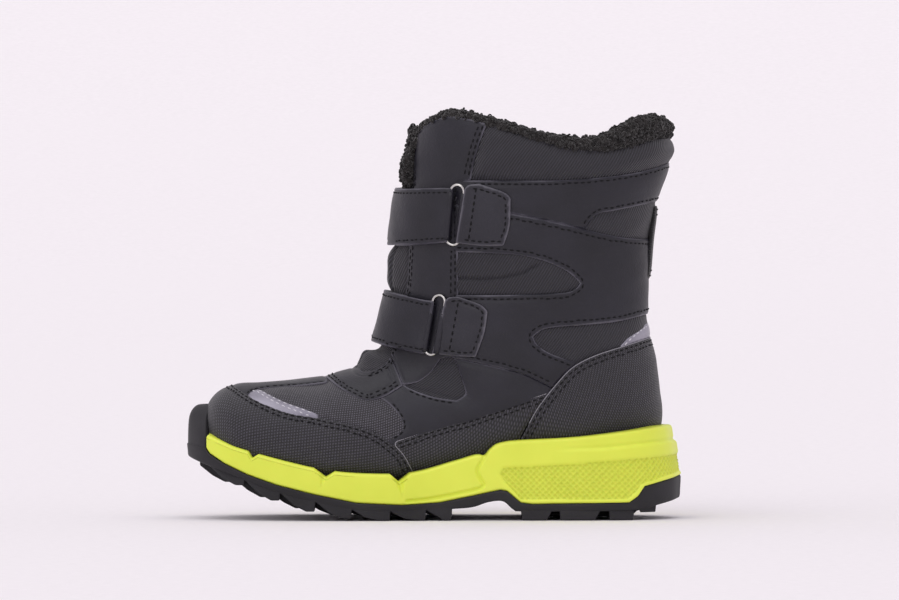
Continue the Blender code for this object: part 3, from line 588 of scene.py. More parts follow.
def lime_foam():
    """Injection-moulded EVA foam: a satin skin with a faint orange peel, lime yellow, with
    painted shade darkening the pits of its knurled panel."""
    material, tree, place = new_material("moulded_eva", 0.46, Subsurface_Weight=0.08,
                                         Subsurface_Scale=0.004, Coat_Weight=0.08,
                                         Coat_Roughness=0.4)
    peel = add(tree, "TexNoise", Vector=place, Scale=900.0, Detail=3.0)
    clouds = add(tree, "TexNoise", Vector=place, Scale=30.0, Detail=3.0)
    tint = add(tree, "ValToRGB", ((0.3, "#dde946"), (0.7, "#e8f352")), Fac=clouds.outputs["Fac"])
    pits = add(tree, "Attribute", attribute_name="pit")
    # Painted shade: the colour is multiplied darker in the knurl's pits, where shade falls.
    painted_pit_shade = add(tree, "Mix", data_type="RGBA", blend_type="MULTIPLY", Factor=pits.outputs["Fac"],
               A=tint.outputs["Color"], B=linear("#e8e8bc"))
    return dressed(material, painted_pit_shade.outputs["Result"], peel.outputs["Fac"], 0.25, 0.1)


def nickel_wire():
    """Nickel-plated steel wire, drawn and polished, with faint draw marks."""
    material, tree, place = new_material("nickel_plated_wire", 0.18, Metallic=1.0)
    marks = add(tree, "TexNoise", Vector=place, Scale=700.0, Detail=4.0)
    tint = add(tree, "ValToRGB", ((0.3, "#b4b2b0"), (0.7, "#e0deda")), Fac=marks.outputs["Fac"])
    gloss = add(tree, "MapRange", Value=marks.outputs["Fac"], To_Min=0.12, To_Max=0.28)
    return dressed(material, tint.outputs["Color"], gloss=gloss.outputs["Result"])


def thread(name, dark, light):
    """Bonded nylon sewing thread: tight, with the slight shine of its twist."""
    material, tree, place = new_material(name, 0.7, Specular_IOR_Level=0.25)
    twist = add(tree, "TexWave", Vector=place, Scale=900.0, Distortion=2.0)
    tint = add(tree, "ValToRGB", ((0.2, dark), (0.8, light)), Fac=twist.outputs["Fac"])
    return dressed(material, tint.outputs["Color"])


LEATHER = leather_grain("pu_synthetic_leather", "#14131b", "#1f1e28", "#605e68")
# The keeper's leather is the quarters' leather in a lighter tone: painted light, for the lighter
# shading the raised keeper shows.
LIT_KEEPER_LEATHER = leather_grain("pu_leather_painted_lighter", "#1a1920", "#26252e", "#65636c")
CANVAS = woven("ballistic_canvas", "#0d0c10", "#45434d", 1.25, 0.6)
VAMP_CLOTH = woven("dotted_nylon", "#131217", "#5c5963", 1.1, 0.6)
TWILL = woven("nylon_twill", "#08070b", "#282630", 1.35, 0.62, twill=True)
WEBBING = woven("strap_webbing", "#0d0c0f", "#2a292e", 1.1, 0.7)
TAPE = reflective()
FOAM = lime_foam()
NICKEL = nickel_wire()
BLACK_THREAD = thread("black_thread", "#060608", "#17161a")
SILVER_THREAD = thread("silver_thread", "#b9b7bf", "#e4e2e8")
# Painted highlight: a thin light line laid along cut edges, where the rounded edge catches light.
EDGE_HIGHLIGHT_LINE = thread("painted_edge_highlight_line", "#77757c", "#a3a1a8")
# Compression-moulded rubber: matt dark grey with the mould's fine stipple.
RUBBER = mottled("tread_rubber", 0.62, {"Scale": 45.0, "Detail": 4.0},
                 ((0.3, "#1f1e21"), (0.7, "#2a292d")), 0.5, 0.15,
                 {"Scale": 1100.0, "Detail": 3.0}, Specular_IOR_Level=0.35)
# Curly acrylic pile: soft, matt, nearly black, lighter on the tips.
PILE = mottled("curly_pile", 0.95, {"Scale": 340.0, "Detail": 5.0, "Roughness": 0.7},
               ((0.35, "#171515"), (0.75, "#3e3b3a")), 1.0, 1.2, Sheen_Weight=0.3,
               Sheen_Roughness=0.5, Specular_IOR_Level=0.1)
# Pressed cellulose stiffener board: matt, mottled buff-grey fibres.
FIBRE = mottled("pressed_fibre_board", 0.9, {"Scale": 500.0, "Detail": 5.0},
                ((0.3, "#6d665c"), (0.7, "#8b8478")), 0.4, 0.2)
# Seamless white backdrop paper.
PAPER = mottled("backdrop_paper", 0.9, {"Scale": 200.0, "Detail": 2.0},
                ((0.3, "#f1edf0"), (0.7, "#f5f1f4")))


# ---------------------------------------------------------------- lines the panels share

SOLE_EDGE = (
    (-104.5, 38.8), (-102.4, 38.2), (-94.8, 35), (-86.8, 32.1), (-65.8, 26.4), (-48, 22.6),
    (-30, 21), (-9.9, 21.4), (8.4, 26.3), (18.7, 29.3), (22.2, 28.9), (24.4, 31.3),
    (27.2, 33.7), (31, 34.9), (38, 35.7), (64.6, 37.2), (102.9, 41.5), (112, 42.4),
)
TOE_SEAM = (
    (-90.4, 60), (-82.3, 54.8), (-75.6, 51.6), (-64.5, 47.7), (-51.1, 45.4),
    (-33.2, 41.2), (-22.1, 36.2), (-14.1, 29.2), (-9.9, 21.6),
)
MUDGUARD_SEAM = ((-19.4, 34.6), (2.5, 41.3), (16.1, 45.2), (33.7, 50.9), (51, 56.6))
HEEL_SEAM = (
    (36, 31), (42.2, 43.1), (46.9, 51.1), (54.9, 61.1), (61.9, 68.1),
    (71.8, 73.1), (85, 77.2), (97.8, 81), (112, 84.4),
)
COLLAR_EDGE = (
    (-16, 146), (-11.8, 153.3), (-9.3, 167.6), (-5.1, 174.7), (4.7, 179.4), (13.6, 178.7),
    (23.9, 176.2), (39.5, 171.6), (53.1, 167.1), (66.7, 164.8), (80.4, 164.4),
    (98.6, 168.9), (112, 170.6),
)
COLLAR_SEAM = (
    (16, 151.1), (54, 151.1), (75.9, 152.5), (94.1, 155.2), (112, 160.6),
)
BAND_SEAM = (
    (8, 140.4), (34.9, 136.2), (57.7, 131.6), (68, 128.9), (82.8, 125.7), (97, 124.5),
    (112, 124),
)
LOW_SEAM = ((8, 72), (14.1, 71), (31.9, 67.1), (42.6, 63.6), (52.4, 58.8))
FACING_FRONT = (
    (-9.7, 159.5), (-9.7, 150.6), (-11.4, 119.8), (-12.7, 102), (-15.5, 88), (-19.6, 73.6),
)
FACING_BACK = ((10.1, 76), (10.3, 100), (10.3, 147))
FACING_TOP = ((16, 151.1), (17.6, 159.7), (20.2, 168.5), (23.3, 176.4))
SADDLE = ((-96, -30), (-83, -25), (-79.5, -19.5), (-71, -16), (-48, -15.5),
          (-48, 15.5), (-71, 14.5), (-79.5, 17.5), (-83, 22), (-96, 28))
SIDES = ("medial", "lateral")
STITCHES = {"black": [], "silver": [], "edge": []}


def shifted(line, dx=0.0, dz=0.0):
    """The line's points, moved."""
    return tuple((x + dx, z + dz) for x, z in line)


def tucked(drop, low_x, high_x):
    """The sole's edge, lowered, from its high x to its low x."""
    line = spline(shifted(SOLE_EDGE, dz=-drop), 2.0)
    return line[(line[:, 0] > low_x) & (line[:, 0] < high_x)][::-1]


def ripple(points, size, height):
    """Small soft unevenness of cloth, about size mm across and height mm high."""
    p = points * (2 * math.pi / size)
    waves = (np.sin(p @ [0.9, 0.5, 0.3] + 1.3) + np.sin(p @ [-0.4, 0.7, 0.8] + 4.1)
             + np.sin(p @ [0.5, -0.9, 0.6] * 1.7 + 0.4) + np.sin(p @ [0.3, 0.4, -1.0] * 2.3))
    return waves * height / 4


def relief(puff=0.4, seam=1.4, second=None, dent=0.28, uneven=0.22, reach=5.0):
    """A panel's relief: rolled edges, a dent along each stitch line, and a soft puff."""

    def shape(edge, points):
        rise = -0.45 * np.exp(-edge / 0.45)
        for line in (seam, second):
            if line:
                rise = rise - dent * np.exp(-(((edge - line) / 0.55) ** 2))
        rise = rise + puff * (1 - np.exp(-np.maximum(edge - seam, 0) / reach))
        return rise + ripple(points, 26.0, uneven) * np.clip(edge / 4, 0, 1)

    return shape


def sew(bm, lines, insets, thread="black", pitch=3.0):
    """Adds the stitches along a sheet's edges where they follow the lines."""
    curves = [spline(line) for line in lines]
    for inset in insets:
        STITCHES[thread] += stitch_places(bm, curves, inset, pitch)


def panel(name, outline, span, out, material, slot, shape=None, wall=1.3, seams=(),
          insets=(1.4,), thread="black", keep_also=None, highlit_edges=()):
    """One piece of the upper, cut, sewn, given its wall, and standing for its CAD node."""
    bm = cut_sheet(outline, span, out, shape or relief(), keep_also)
    if seams:
        sew(bm, seams, insets, thread)
    # highlit_edges get a painted highlight: a line of short light beads along the edge.
    if highlit_edges:
        sew(bm, highlit_edges, (0.05,), "edge", pitch=1.0)
    obj = walled(name, bm, material, ROOT, wall)
    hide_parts(name.removesuffix("_skin"))
    return obj


def saddle_depth(points):
    """How far inside the toe saddle's plan outline each point is."""
    plan = outline_of(SADDLE[:2], SADDLE[1:5], SADDLE[4:6], SADDLE[5:9], SADDLE[8:],
                      (SADDLE[-1], SADDLE[0]))
    return depth_inside(points[..., [0, 1]], plan)


def make_toe():
    """Toe cap, the saddle over the toes, the reflectors and the vamp's woven sides."""
    under = tucked(3.5, -99, -10)
    cap = outline_of(((-93.5, 66),), TOE_SEAM, ((-9.9, 21.6), (-9.9, 17)), under,
                     ((-101, 33), (-108, 33), (-108, 66)))
    panel("toe_cap_skin", cap, "back_seam", 0.3, CANVAS, "coarse_canvas",
          shape=relief(0.5, 1.3, 3.6), seams=(TOE_SEAM,), insets=(1.3, 3.6))
    top = outline_of(((-93.5, 72),), shifted(TOE_SEAM[:3], -1.0, -1.0),
                     ((-70, 40), (-48.2, 40), (-48.2, 72)))
    panel("vamp_saddle_skin", top, "back_seam", 0.1, LEATHER, "synthetic_leather",
          keep_also=saddle_depth, shape=relief(0.3, 1.3),
          seams=(((-82.8, 54.4), (-79.2, 57.4), (-71.2, 59), (-48.9, 61)),))
    tape_top = ((-79.2, 57.9), (-76.8, 57.3), (-67.6, 52.9), (-60.2, 50.3), (-53, 47.9))
    tape = outline_of(((-83.4, 56), (-82.2, 57), (-79.2, 57.9)), tape_top,
                      ((-53, 47.9), (-51.4, 46.4), (-52, 44.6)),
                      ((-52, 44.6), (-64.5, 46.6), (-75.6, 50.4), (-83, 54)))
    sides = outline_of(((-86, 72), (-44, 72)), ((-44, 72), (-38, 60)),
                       ((-38, 60), (-26, 58.5), (-18, 54)),
                       ((-18, 54), (-12, 46), (-12.5, 39), (-15, 35.5)),
                       ((-15, 35.5), (-24, 34), (-40, 39), (-60, 44)),
                       ((-60, 44), (-75, 48), (-86, 54)))
    for side in SIDES:
        panel(f"toe_reflector_{side}_skin", tape, side, 0.25, TAPE, "reflective_tape",
              shape=relief(0.15, 1.0, dent=0.2, uneven=0.1), wall=0.9,
              seams=(tape_top,), insets=(0.8, 3), thread="silver",
              keep_also=lambda p: -saddle_depth(p) + 0.4)
        panel(f"vamp_side_{side}_skin", sides, side, -0.5, VAMP_CLOTH, "twill",
              shape=relief(0.8, 4.0, uneven=0.4, reach=9.0),
              keep_also=lambda p: -saddle_depth(p) + 3.0)


def make_throat():
    """The overlay across the instep, the tongue and the facings."""
    low = ((-48.4, 63.1), (-39.9, 57.3), (-30.6, 53.3), (-22.1, 55.1), (-14.1, 59.8))
    overlay = outline_of(((-48.4, 78),), ((-48.4, 78), (-48.4, 63.1)), low,
                         ((-14.1, 59.8), (-17.2, 67.2), (-19.9, 72.1)),
                         ((-19.9, 72.1), (-22.1, 68.9), (-27.9, 65.6)),
                         ((-27.9, 65.6), (-33, 66.4), (-37, 78)))
    panel("throat_overlay_skin", overlay, "back_seam", 0.35, LEATHER, "synthetic_leather",
          shape=relief(0.5, 1.4, 3.4), seams=(low, ((-19.9, 72.1), (-22.1, 68.9), (-27.9, 65.6))),
          insets=(1.4, 3.4))
    tongue = outline_of(((-40, 64), (-40, 151), (-7, 151), (-8, 120),
                         (-9.5, 100), (-14, 72), (-24, 62)))
    base = relief(1.0, 6.0, uneven=0.5, reach=10.0)

    def squeezed(edge, points):
        """The padding swells out between the straps and below the lower one."""
        y, z = points[:, 1], points[:, 2]
        swell = 4.6 * np.exp(-((z - 111) / 11.0) ** 4) + 5.2 * np.exp(-((z - 70.5) / 3.4) ** 2)
        folds = np.exp(-((np.abs(y + (z - 111) * 0.08) - 5.5) / 1.1) ** 2)
        return base(edge, points) + swell * (np.exp(-(y / 12.0) ** 2) - 0.35 * folds)

    panel("tongue_skin", tongue, "back_seam", -1.0, TWILL, "twill", shape=squeezed)
    facing = outline_of(FACING_FRONT, ((-19.6, 73.6), (-14.3, 60)),
                        ((-14.3, 60), (-7.4, 61.4), (-2, 65.4), (2.5, 71.6)),
                        ((2.5, 71.6), (10.1, 73)), FACING_BACK,
                        ((10.3, 147), (12, 150), (16, 151.1)), FACING_TOP,
                        ((23.3, 176.4), (13.6, 178.7), (4.7, 179.4), (-5.1, 174.7),
                         (-9.3, 167.6), (-9.7, 159.5)))
    for side in SIDES:
        sign = -1 if side == "medial" else 1
        panel(f"facing_{side}_skin", facing, side, 0.2, LEATHER, "synthetic_leather",
              shape=relief(0.35, 1.3), seams=(FACING_FRONT, FACING_BACK, FACING_TOP),
              insets=(1.3, 3.2),
              keep_also=lambda p, s=sign: np.where(p[..., 2] > 149.5,
                                                   p[..., 1] * s - MOUTH_GAP, 99))


def make_quarters():
    """The coated panels of the sides and the woven windows between them."""
    up_front = ((68.4, 132.3), (67.7, 130.8), (68, 128.9))
    up_back = ((112, 144.5), (98.8, 141.2), (80.1, 137.5), (73, 136.3), (68.4, 132.3))
    band = outline_of(((8, 146), (8, 151.4)), ((8, 151.4), (16, 151.1)), COLLAR_SEAM,
                      ((112, 160.6), (112, 144.5)), up_back, up_front,
                      BAND_SEAM[3::-1])
    low_window = ((112, 95.2), (97.5, 91.6), (84, 88.5), (73.9, 87.2), (56, 86),
                  (48.4, 84.8), (43.8, 81.6))
    low_window_2 = ((43.8, 81.6), (46, 77.6), (52.5, 73.7), (63.5, 69.8))
    mid_top = ((6, 100), (33.7, 100.2), (56, 100.9), (62.3, 102.4), (65, 105.4))
    mid_low = ((65, 105.4), (59, 110.6), (48.4, 115.4), (33.7, 118.3), (6, 119.2))
    side_panel = outline_of(((8, 119.1), (8, 140.4)), BAND_SEAM, ((112, 124), (112, 95.2)),
                            low_window, low_window_2, ((63.5, 69.8), (58, 65.2), (52.4, 58.8)),
                            LOW_SEAM[::-1], ((8, 72), (8, 99.9)), mid_top, mid_low)
    vamp_edge = ((-20.5, 36.6), (-18.2, 37.8), (-15.6, 39.6), (-14.5, 42.7), (-17.1, 47.7),
                 (-20.8, 52), (-25, 55))
    low = outline_of(LOW_SEAM, ((52.4, 58.8), (50, 52.5), (30, 45), (0, 37),
                                (-19.4, 31)),
                     ((-19.4, 31), (-20.5, 36.6)), vamp_edge, ((-25, 55), (-14.1, 61)),
                     ((-14.1, 61), (-11.8, 58.7), (-1.1, 54.7), (9.6, 52.9)),
                     ((9.6, 52.9), (13.2, 55.6), (12.7, 59.6), (9.1, 70.5)))
    guard = outline_of(MUDGUARD_SEAM, ((51, 56.6), (46, 50), (41, 42), (34, 28)),
                       tucked(3.5, -9, 33), ((-9.9, 18), (-9.9, 21.6)),
                       ((-9.9, 21.6), (-14.1, 29.2), (-19.4, 34.6)))
    window = outline_of(((4, 97), (4, 123)), ((4, 123), (40, 122), (62, 114),
                        (69, 106), (62, 99), (40, 97), (4, 97)))
    corner = outline_of(((0, 74), (12, 74)), ((12, 74), (16, 62), (16, 52)),
                        ((16, 52), (8, 50), (-14, 56)),
                        ((-14, 56), (-16, 61), (0, 74)))
    black = (LEATHER, "synthetic_leather")
    for side in SIDES:
        panel(f"quarter_band_{side}_skin", band, side, 0.1, *black, shape=relief(0.6, 1.7),
              seams=(COLLAR_SEAM, up_back, up_front), insets=(1.7,))
        panel(f"quarter_side_{side}_skin", side_panel, side, 0.25, *black, shape=relief(0.5, 2.3),
              seams=(BAND_SEAM, mid_top, mid_low, low_window, low_window_2, LOW_SEAM),
              insets=(2.3,))
        panel(f"quarter_low_{side}_skin", low, side, -0.2, *black, shape=relief(0.5, 1.4),
              seams=(vamp_edge[1:-1], ((-11.8, 58.7), (-1.1, 54.7), (9.6, 52.9))))
        panel(f"mudguard_{side}_skin", guard, side, 0.25, CANVAS, "coarse_canvas",
              shape=relief(0.3, 1.3, 3.2), seams=(MUDGUARD_SEAM,), insets=(1.3, 3.2),
              highlit_edges=(MUDGUARD_SEAM, ((-9.9, 21.6), (-14.1, 29.2), (-19.4, 34.6))))
        panel(f"side_window_{side}_skin", window, side, -0.8, TWILL, "twill",
              shape=window_crease, wall=1.0)
        panel(f"instep_window_{side}_skin", corner, side, -0.8, TWILL, "twill",
              shape=relief(1.0, 4.0, uneven=0.3), wall=1.0)
    achilles = outline_of(((112, 147), (98.8, 144.2), (80.1, 140.5), (70, 138.5),
                           (65, 132.3), (68, 125), (80, 121), (112, 120)))
    ankle = outline_of(((112, 99), (96.2, 95.6), (73.9, 91.6), (56, 90.2), (46, 89),
                        (40.1, 84.1), (45, 76), (54, 70), (60, 64), (75, 70),
                        (112, 79)))
    for name, outline in (("achilles_window", achilles), ("ankle_window", ankle)):
        panel(f"{name}_skin", outline, "front_seam", -0.8, TWILL, "twill",
              shape=relief(1.0, 4.0, uneven=0.35, reach=8.0), wall=1.0)


def window_crease(edge, points):
    """The side window's padding, with the stitched crease along its middle."""
    rise = relief(1.3, 3.0, uneven=0.3, reach=6.0)(edge, points)
    fold = spline(((8, 107.6), (24.8, 107.3), (38.4, 109.7), (46, 113.5)))
    return rise - 1.3 * np.exp(-((line_distance(points[:, [0, 2]], fold) / 0.7) ** 2))


def make_heel():
    """The heel cover, the reflective strip over it and the pull loop."""
    cover = outline_of(HEEL_SEAM, ((112, 84.4), (112, 38.5)), tucked(3.5, 37, 111))
    panel("heel_cover_skin", cover, "front_seam", 0.4, CANVAS, "coarse_canvas",
          shape=relief(0.5, 1.4, 3.4), seams=(HEEL_SEAM,), insets=(1.4, 3.4),
          highlit_edges=(HEEL_SEAM[1:],))
    tape = outline_of(((82, 75.9), (86.3, 80.5), (90.8, 84.1), (96.2, 87.2), (112, 91.4)),
                      ((112, 91.4), (112, 84.2)),
                      ((112, 84.2), (97.8, 80.6), (90, 78.6), (82, 75.9)))
    panel("heel_reflector_skin", tape, "front_seam", 0.1, TAPE, "reflective_tape",
          shape=relief(0.15, 1.0, uneven=0.1), wall=0.9,
          seams=(((82.8, 76.5), (86.3, 80.5), (90.8, 84.1), (96.2, 87.2), (112, 91.4)),),
          insets=(1.2,), thread="silver")
    strip = outline_of(((80, 106.8), (112, 106.8)), ((112, 106.8), (112, 139.3)),
                       ((112, 139.3), (80, 139.3)), ((80, 139.3), (80, 106.8)))

    def bowed(edge, points):
        """Sewn flat at both ends and standing a little proud between them."""
        middle, half_length = 123.0, 16.3
        height = (points[:, 2] - middle) / half_length
        return -0.3 * np.exp(-edge / 0.5) - 0.9 * height ** 4

    bm = cut_sheet(strip, "front_seam", 1.5, bowed, lambda p: 8.0 - np.abs(p[..., 1]))
    for z in (106.8, 139.3):
        sew(bm, (((80, z), (112, z)),), (1.5, 4), pitch=2.2)
    loop = walled("pull_loop_skin", bm, WEBBING, ROOT, 1.5)
    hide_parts("pull_loop")


def make_collar():
    """The padded collar band."""
    band = outline_of(((16, 151.1), (17, 157.7), (20.2, 168.5), (23.3, 176.4)),
                      COLLAR_EDGE[6:], ((112, 170.6), (112, 160.6)), COLLAR_SEAM[::-1])
    collar = panel("collar_skin", band, "front_seam", -0.2, TWILL, "twill",
                   shape=relief(2.3, 1.0, uneven=0.5, reach=4.0), wall=2.5)


# ---------------------------------------------------------------- padding and pile

def bent_grid(points, pit=None):
    """A grid of quads bent to the (rows, columns, xyz) points, in mm, edges welded. pit
    gives each point's depth in a pattern, from 0 to 1, for the painted shade in its material."""
    rows, cols = points.shape[:2]
    bm = bmesh.new()
    layer = bm.verts.layers.float.new("pit")
    bmesh.ops.create_grid(bm, x_segments=rows - 1, y_segments=cols - 1, size=0.5)
    for vert in bm.verts:
        at = (round((vert.co.x + 0.5) * (rows - 1)), round((vert.co.y + 0.5) * (cols - 1)))
        vert.co = points[at] * MM
        vert[layer] = 0.0 if pit is None else pit[at]
    bmesh.ops.remove_doubles(bm, verts=bm.verts, dist=1e-6)
    bmesh.ops.dissolve_degenerate(bm, edges=bm.edges, dist=1e-7)
    return bm


def inflated(obj, cap):
    """Blows a sheet out like padding, its edges held, by at most cap mm."""
    rest = np.array([v.co for v in obj.data.vertices])
    bm = bmesh.new()
    bm.from_mesh(obj.data)
    rim = [v.index for v in bm.verts if v.is_boundary]
    bm.free()
    group = obj.vertex_groups.new(name="held")
    group.add(rim, 1.0, "REPLACE")
    cloth = obj.modifiers.new("Cloth", "CLOTH")
    cloth.settings.vertex_group_mass = "held"
    cloth.settings.quality = 5
    cloth.settings.use_pressure = True
    cloth.settings.uniform_pressure_force = 4.0
    cloth.settings.effector_weights.gravity = 0.0
    cloth.settings.bending_stiffness = 0.4
    cloth.collision_settings.use_collision = False
    scene = bpy.context.scene
    for number in range(1, 21):
        scene.frame_set(number)
    graph = bpy.context.evaluated_depsgraph_get()
    moved = np.array([v.co for v in obj.evaluated_get(graph).data.vertices]) - rest
    obj.modifiers.remove(cloth)
    obj.vertex_groups.remove(group)
    scene.frame_set(1)
    size = np.linalg.norm(moved, axis=1, keepdims=True)
    moved *= np.minimum(1, cap * MM / np.maximum(size, 1e-9))
    obj.data.vertices.foreach_set("co", (rest + moved).ravel())
    obj.data.update()
    return obj


def curl_height(point, cell=3.4):
    """How far a pile of tight curls stands up at a point, from 0 to 1."""
    p = Vector(point) / cell
    near = noise.voronoi(p)[0]
    return max(0.0, 1.0 - near[0]) * 0.75 + 0.25 * (near[1] - near[0]) \
        + 0.22 * noise.noise(p * 2.7)


def curl_template():
    """One small curl of pile: most of a turn of a soft fibre lock."""
    bm = bmesh.new()
    bmesh.ops.create_circle(bm, segments=4, radius=0.34 * MM, cap_ends=True)
    bmesh.ops.rotate(bm, verts=bm.verts, matrix=Matrix.Rotation(math.pi / 2, 3, "X"))
    bmesh.ops.translate(bm, verts=bm.verts, vec=(0.8 * MM, 0, 0))
    bmesh.ops.spin(bm, geom=[*bm.verts, *bm.edges], axis=(0, 0, 1), cent=(0, 0, 0),
                   dvec=(0, 0, 0.09 * MM), angle=math.radians(250), steps=5)
    bmesh.ops.triangulate(bm, faces=bm.faces)
    bmesh.ops.recalc_face_normals(bm, faces=bm.faces)
    return mesh_of(bm, "curl")


def curls_on(name, obj, count, rides, seed, keep=None):
    """Curls scattered over a piece's faces, turned every way."""
    draw = np.random.RandomState(seed)
    mesh = obj.data
    size = np.empty(len(mesh.polygons))
    mesh.polygons.foreach_get("area", size)
    if keep:
        centres = np.empty(len(size) * 3)
        mesh.polygons.foreach_get("center", centres)
        size = size * keep(centres.reshape(-1, 3) / MM)
    chosen = draw.choice(len(size), count, p=size / size.sum())
    places = []
    for index in chosen:
        face = mesh.polygons[index]
        corners = [mesh.vertices[k].co for k in face.vertices]
        a, b = draw.rand(2)
        point = corners[0].lerp(corners[1], a).lerp(corners[-1].lerp(corners[-2], a), b)
        turn = Matrix.Rotation(draw.rand() * 6.28, 4, "Z") \
            @ Matrix.Rotation((draw.rand() - 0.5) * 2.6 + 1.2, 4, "X") \
            @ Matrix.Scale(0.7 + 0.6 * draw.rand(), 4)
        lean = Vector((0, 0, 1)).rotation_difference(face.normal).to_matrix().to_4x4()
        places.append(Matrix.Translation(point - face.normal * CURL_SUNK * MM) @ lean @ turn)
    return scatter(name, curl_template(), places, PILE, rides)


def front_turn(u, y):
    """How far round from the front the surface is at this |y|, on the medial side."""
    row = rows_at(u)
    half, centre = row[..., 4], row[..., 6]
    share = np.clip((y + centre) / half, 0, 1)
    return np.arcsin(share ** (row[..., 8] / 2))


def collar_path():
    """The collar's edge as (u, turn): up the medial front edge, round the back and down
    the lateral front edge, with the height of the pile above it, in mm."""
    edge_line = spline(COLLAR_EDGE, 1.0)
    highs = np.linspace(15, len(ROWS) - 1.02, 500)

    def top_u(turn):
        points = surface(highs, np.full_like(highs, turn), np.zeros_like(highs))
        over = points[:, 2] - np.interp(points[:, 0], edge_line[:, 0], edge_line[:, 1])
        return float(np.interp(0, over, highs))

    low_u = 18.2
    corner = front_turn(np.array(20.2), MOUTH_GAP)
    for _ in range(4):
        corner_u = top_u(float(corner))
        corner = front_turn(np.array(corner_u), MOUTH_GAP)
    front = np.linspace(low_u, corner_u, 40)
    path = [(u, float(front_turn(np.array(u), MOUTH_GAP))) for u in front[:-1]]
    path += [(top_u(t), t) for t in np.linspace(float(corner), math.pi, 200)]
    path += [(u, 2 * math.pi - t) for u, t in path[-2::-1]]
    path = np.array(path)
    for _ in range(6):
        path[1:-1] = (path[:-2] + path[1:-1] * 2 + path[2:]) / 4
    return path


def pile_roll(name, points, normal, high, wide, lift, rides):
    """A fat roll of pile along a path. high and wide are its half sizes across, in mm, and
    lift (out, up) is how far its middle is from the path."""
    tangent = np.gradient(points, axis=0)
    tangent /= np.linalg.norm(tangent, axis=1, keepdims=True)
    normal = normal / np.linalg.norm(normal, axis=1, keepdims=True)
    up = np.cross(tangent, normal)
    if up[len(up) // 2, 2] < 0:
        up = -up
    angle = np.linspace(0, 2 * math.pi, ROLL_STEPS + 1)
    ends = np.sqrt(np.clip(np.minimum(np.arange(len(points)),
                                      np.arange(len(points))[::-1]) / 5.0, 0.0, 1.0))
    centre = points + normal * lift[0][:, None] + up * lift[1][:, None]
    grid = np.zeros((len(points), ROLL_STEPS + 1, 3))
    for k, a in enumerate(angle):
        across = normal * (np.cos(a) * wide * ends)[:, None]
        grid[:, k] = centre + across + up * (np.sin(a) * high * ends)[:, None]
    away = grid - centre[:, None]
    away /= np.maximum(np.linalg.norm(away, axis=-1, keepdims=True), 1e-6)
    rough = np.array([[curl_height(p) for p in row[:-1]] for row in grid])
    rough = np.concatenate([rough, rough[:, :1]], axis=1)
    grid += away * (rough * 2.3 - 1.3)[..., None] * ends[:, None, None]
    bm = bent_grid(grid)
    bmesh.ops.holes_fill(bm, edges=[e for e in bm.edges if e.is_boundary])
    bmesh.ops.recalc_face_normals(bm, faces=bm.faces)
    return link(name, mesh_of(bm, name), PILE, rides)


def make_pile():
    """The pile: the roll along the collar's edge and the lining inside."""
    path = collar_path()
    u, turn = path.T
    flat = surface(u, turn, np.zeros_like(u))
    normal = surface(u, turn, np.ones_like(u)) - flat
    x = flat[:, 0]
    tall = np.interp(x, (-16, -5, 20, 40, 56, 69, 83, 94, 100, 106),
                     (4.6, 3.4, 3, 3, 4.4, 5.6, 9.2, 12, 11, 8))
    fore = np.clip((170 - flat[:, 2]) / 10, 0, 1) * (x < 0)
    wide = 3.2 + 1.2 * fore
    points = surface(u, turn, np.full_like(u, -3.0))
    roll = pile_roll("collar_pile_roll", points, normal, (tall + 1.6) / 2, wide,
                     (3.6 * fore, (tall - 1.6) / 2), ROOT)
    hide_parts("collar_pile")
    curls_on("collar_pile_curls", roll, 4400, ROOT, 7,
             keep=lambda c: np.interp(c[:, 2], (120, 150, 165), (0, 0.7, 1)))

    floor = spline([(r[2], r[3] + 4.2) for r in LOOPS[1:13]], 2.0)
    front = outline_of(((-31, 90), (-106, 90), (-106, 34)), floor[floor[:, 0] < -31],
                       ((-31, 17), (-31, 90)))
    rim = spline(shifted(COLLAR_EDGE, dz=-0.4), 2.0)[::-1]
    rear = outline_of(((-33, 90), (-33, 17)), floor[floor[:, 0] > -31],
                      ((97, 24), (112, 30)), ((112, 30), (112, 170)), rim,
                      ((-16, 146), (-33, 140)))

    def lumps(edge, points):
        return np.array([-curl_height(p, 4.2) * 1.5 for p in points]) + 0.6

    inside = [("lining_vamp_pile", "lining_vamp", "back_seam", front, None)]
    for side, sign in (("medial", -1), ("lateral", 1)):
        inside.append((f"lining_{side}_pile", f"lining_{side}", side, rear,
                       lambda p, s=sign: np.where((p[..., 2] > 150) & (p[..., 0] < 20),
                                                   p[..., 1] * s - 12.5, 99)))
    for name, node, span, outline, keep in inside:
        bm = cut_sheet(outline, span, -6.4, lumps, keep)
        bmesh.ops.reverse_faces(bm, faces=bm.faces)
        sheet = walled(name, bm, PILE, ROOT, 2.6)
        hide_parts(node)


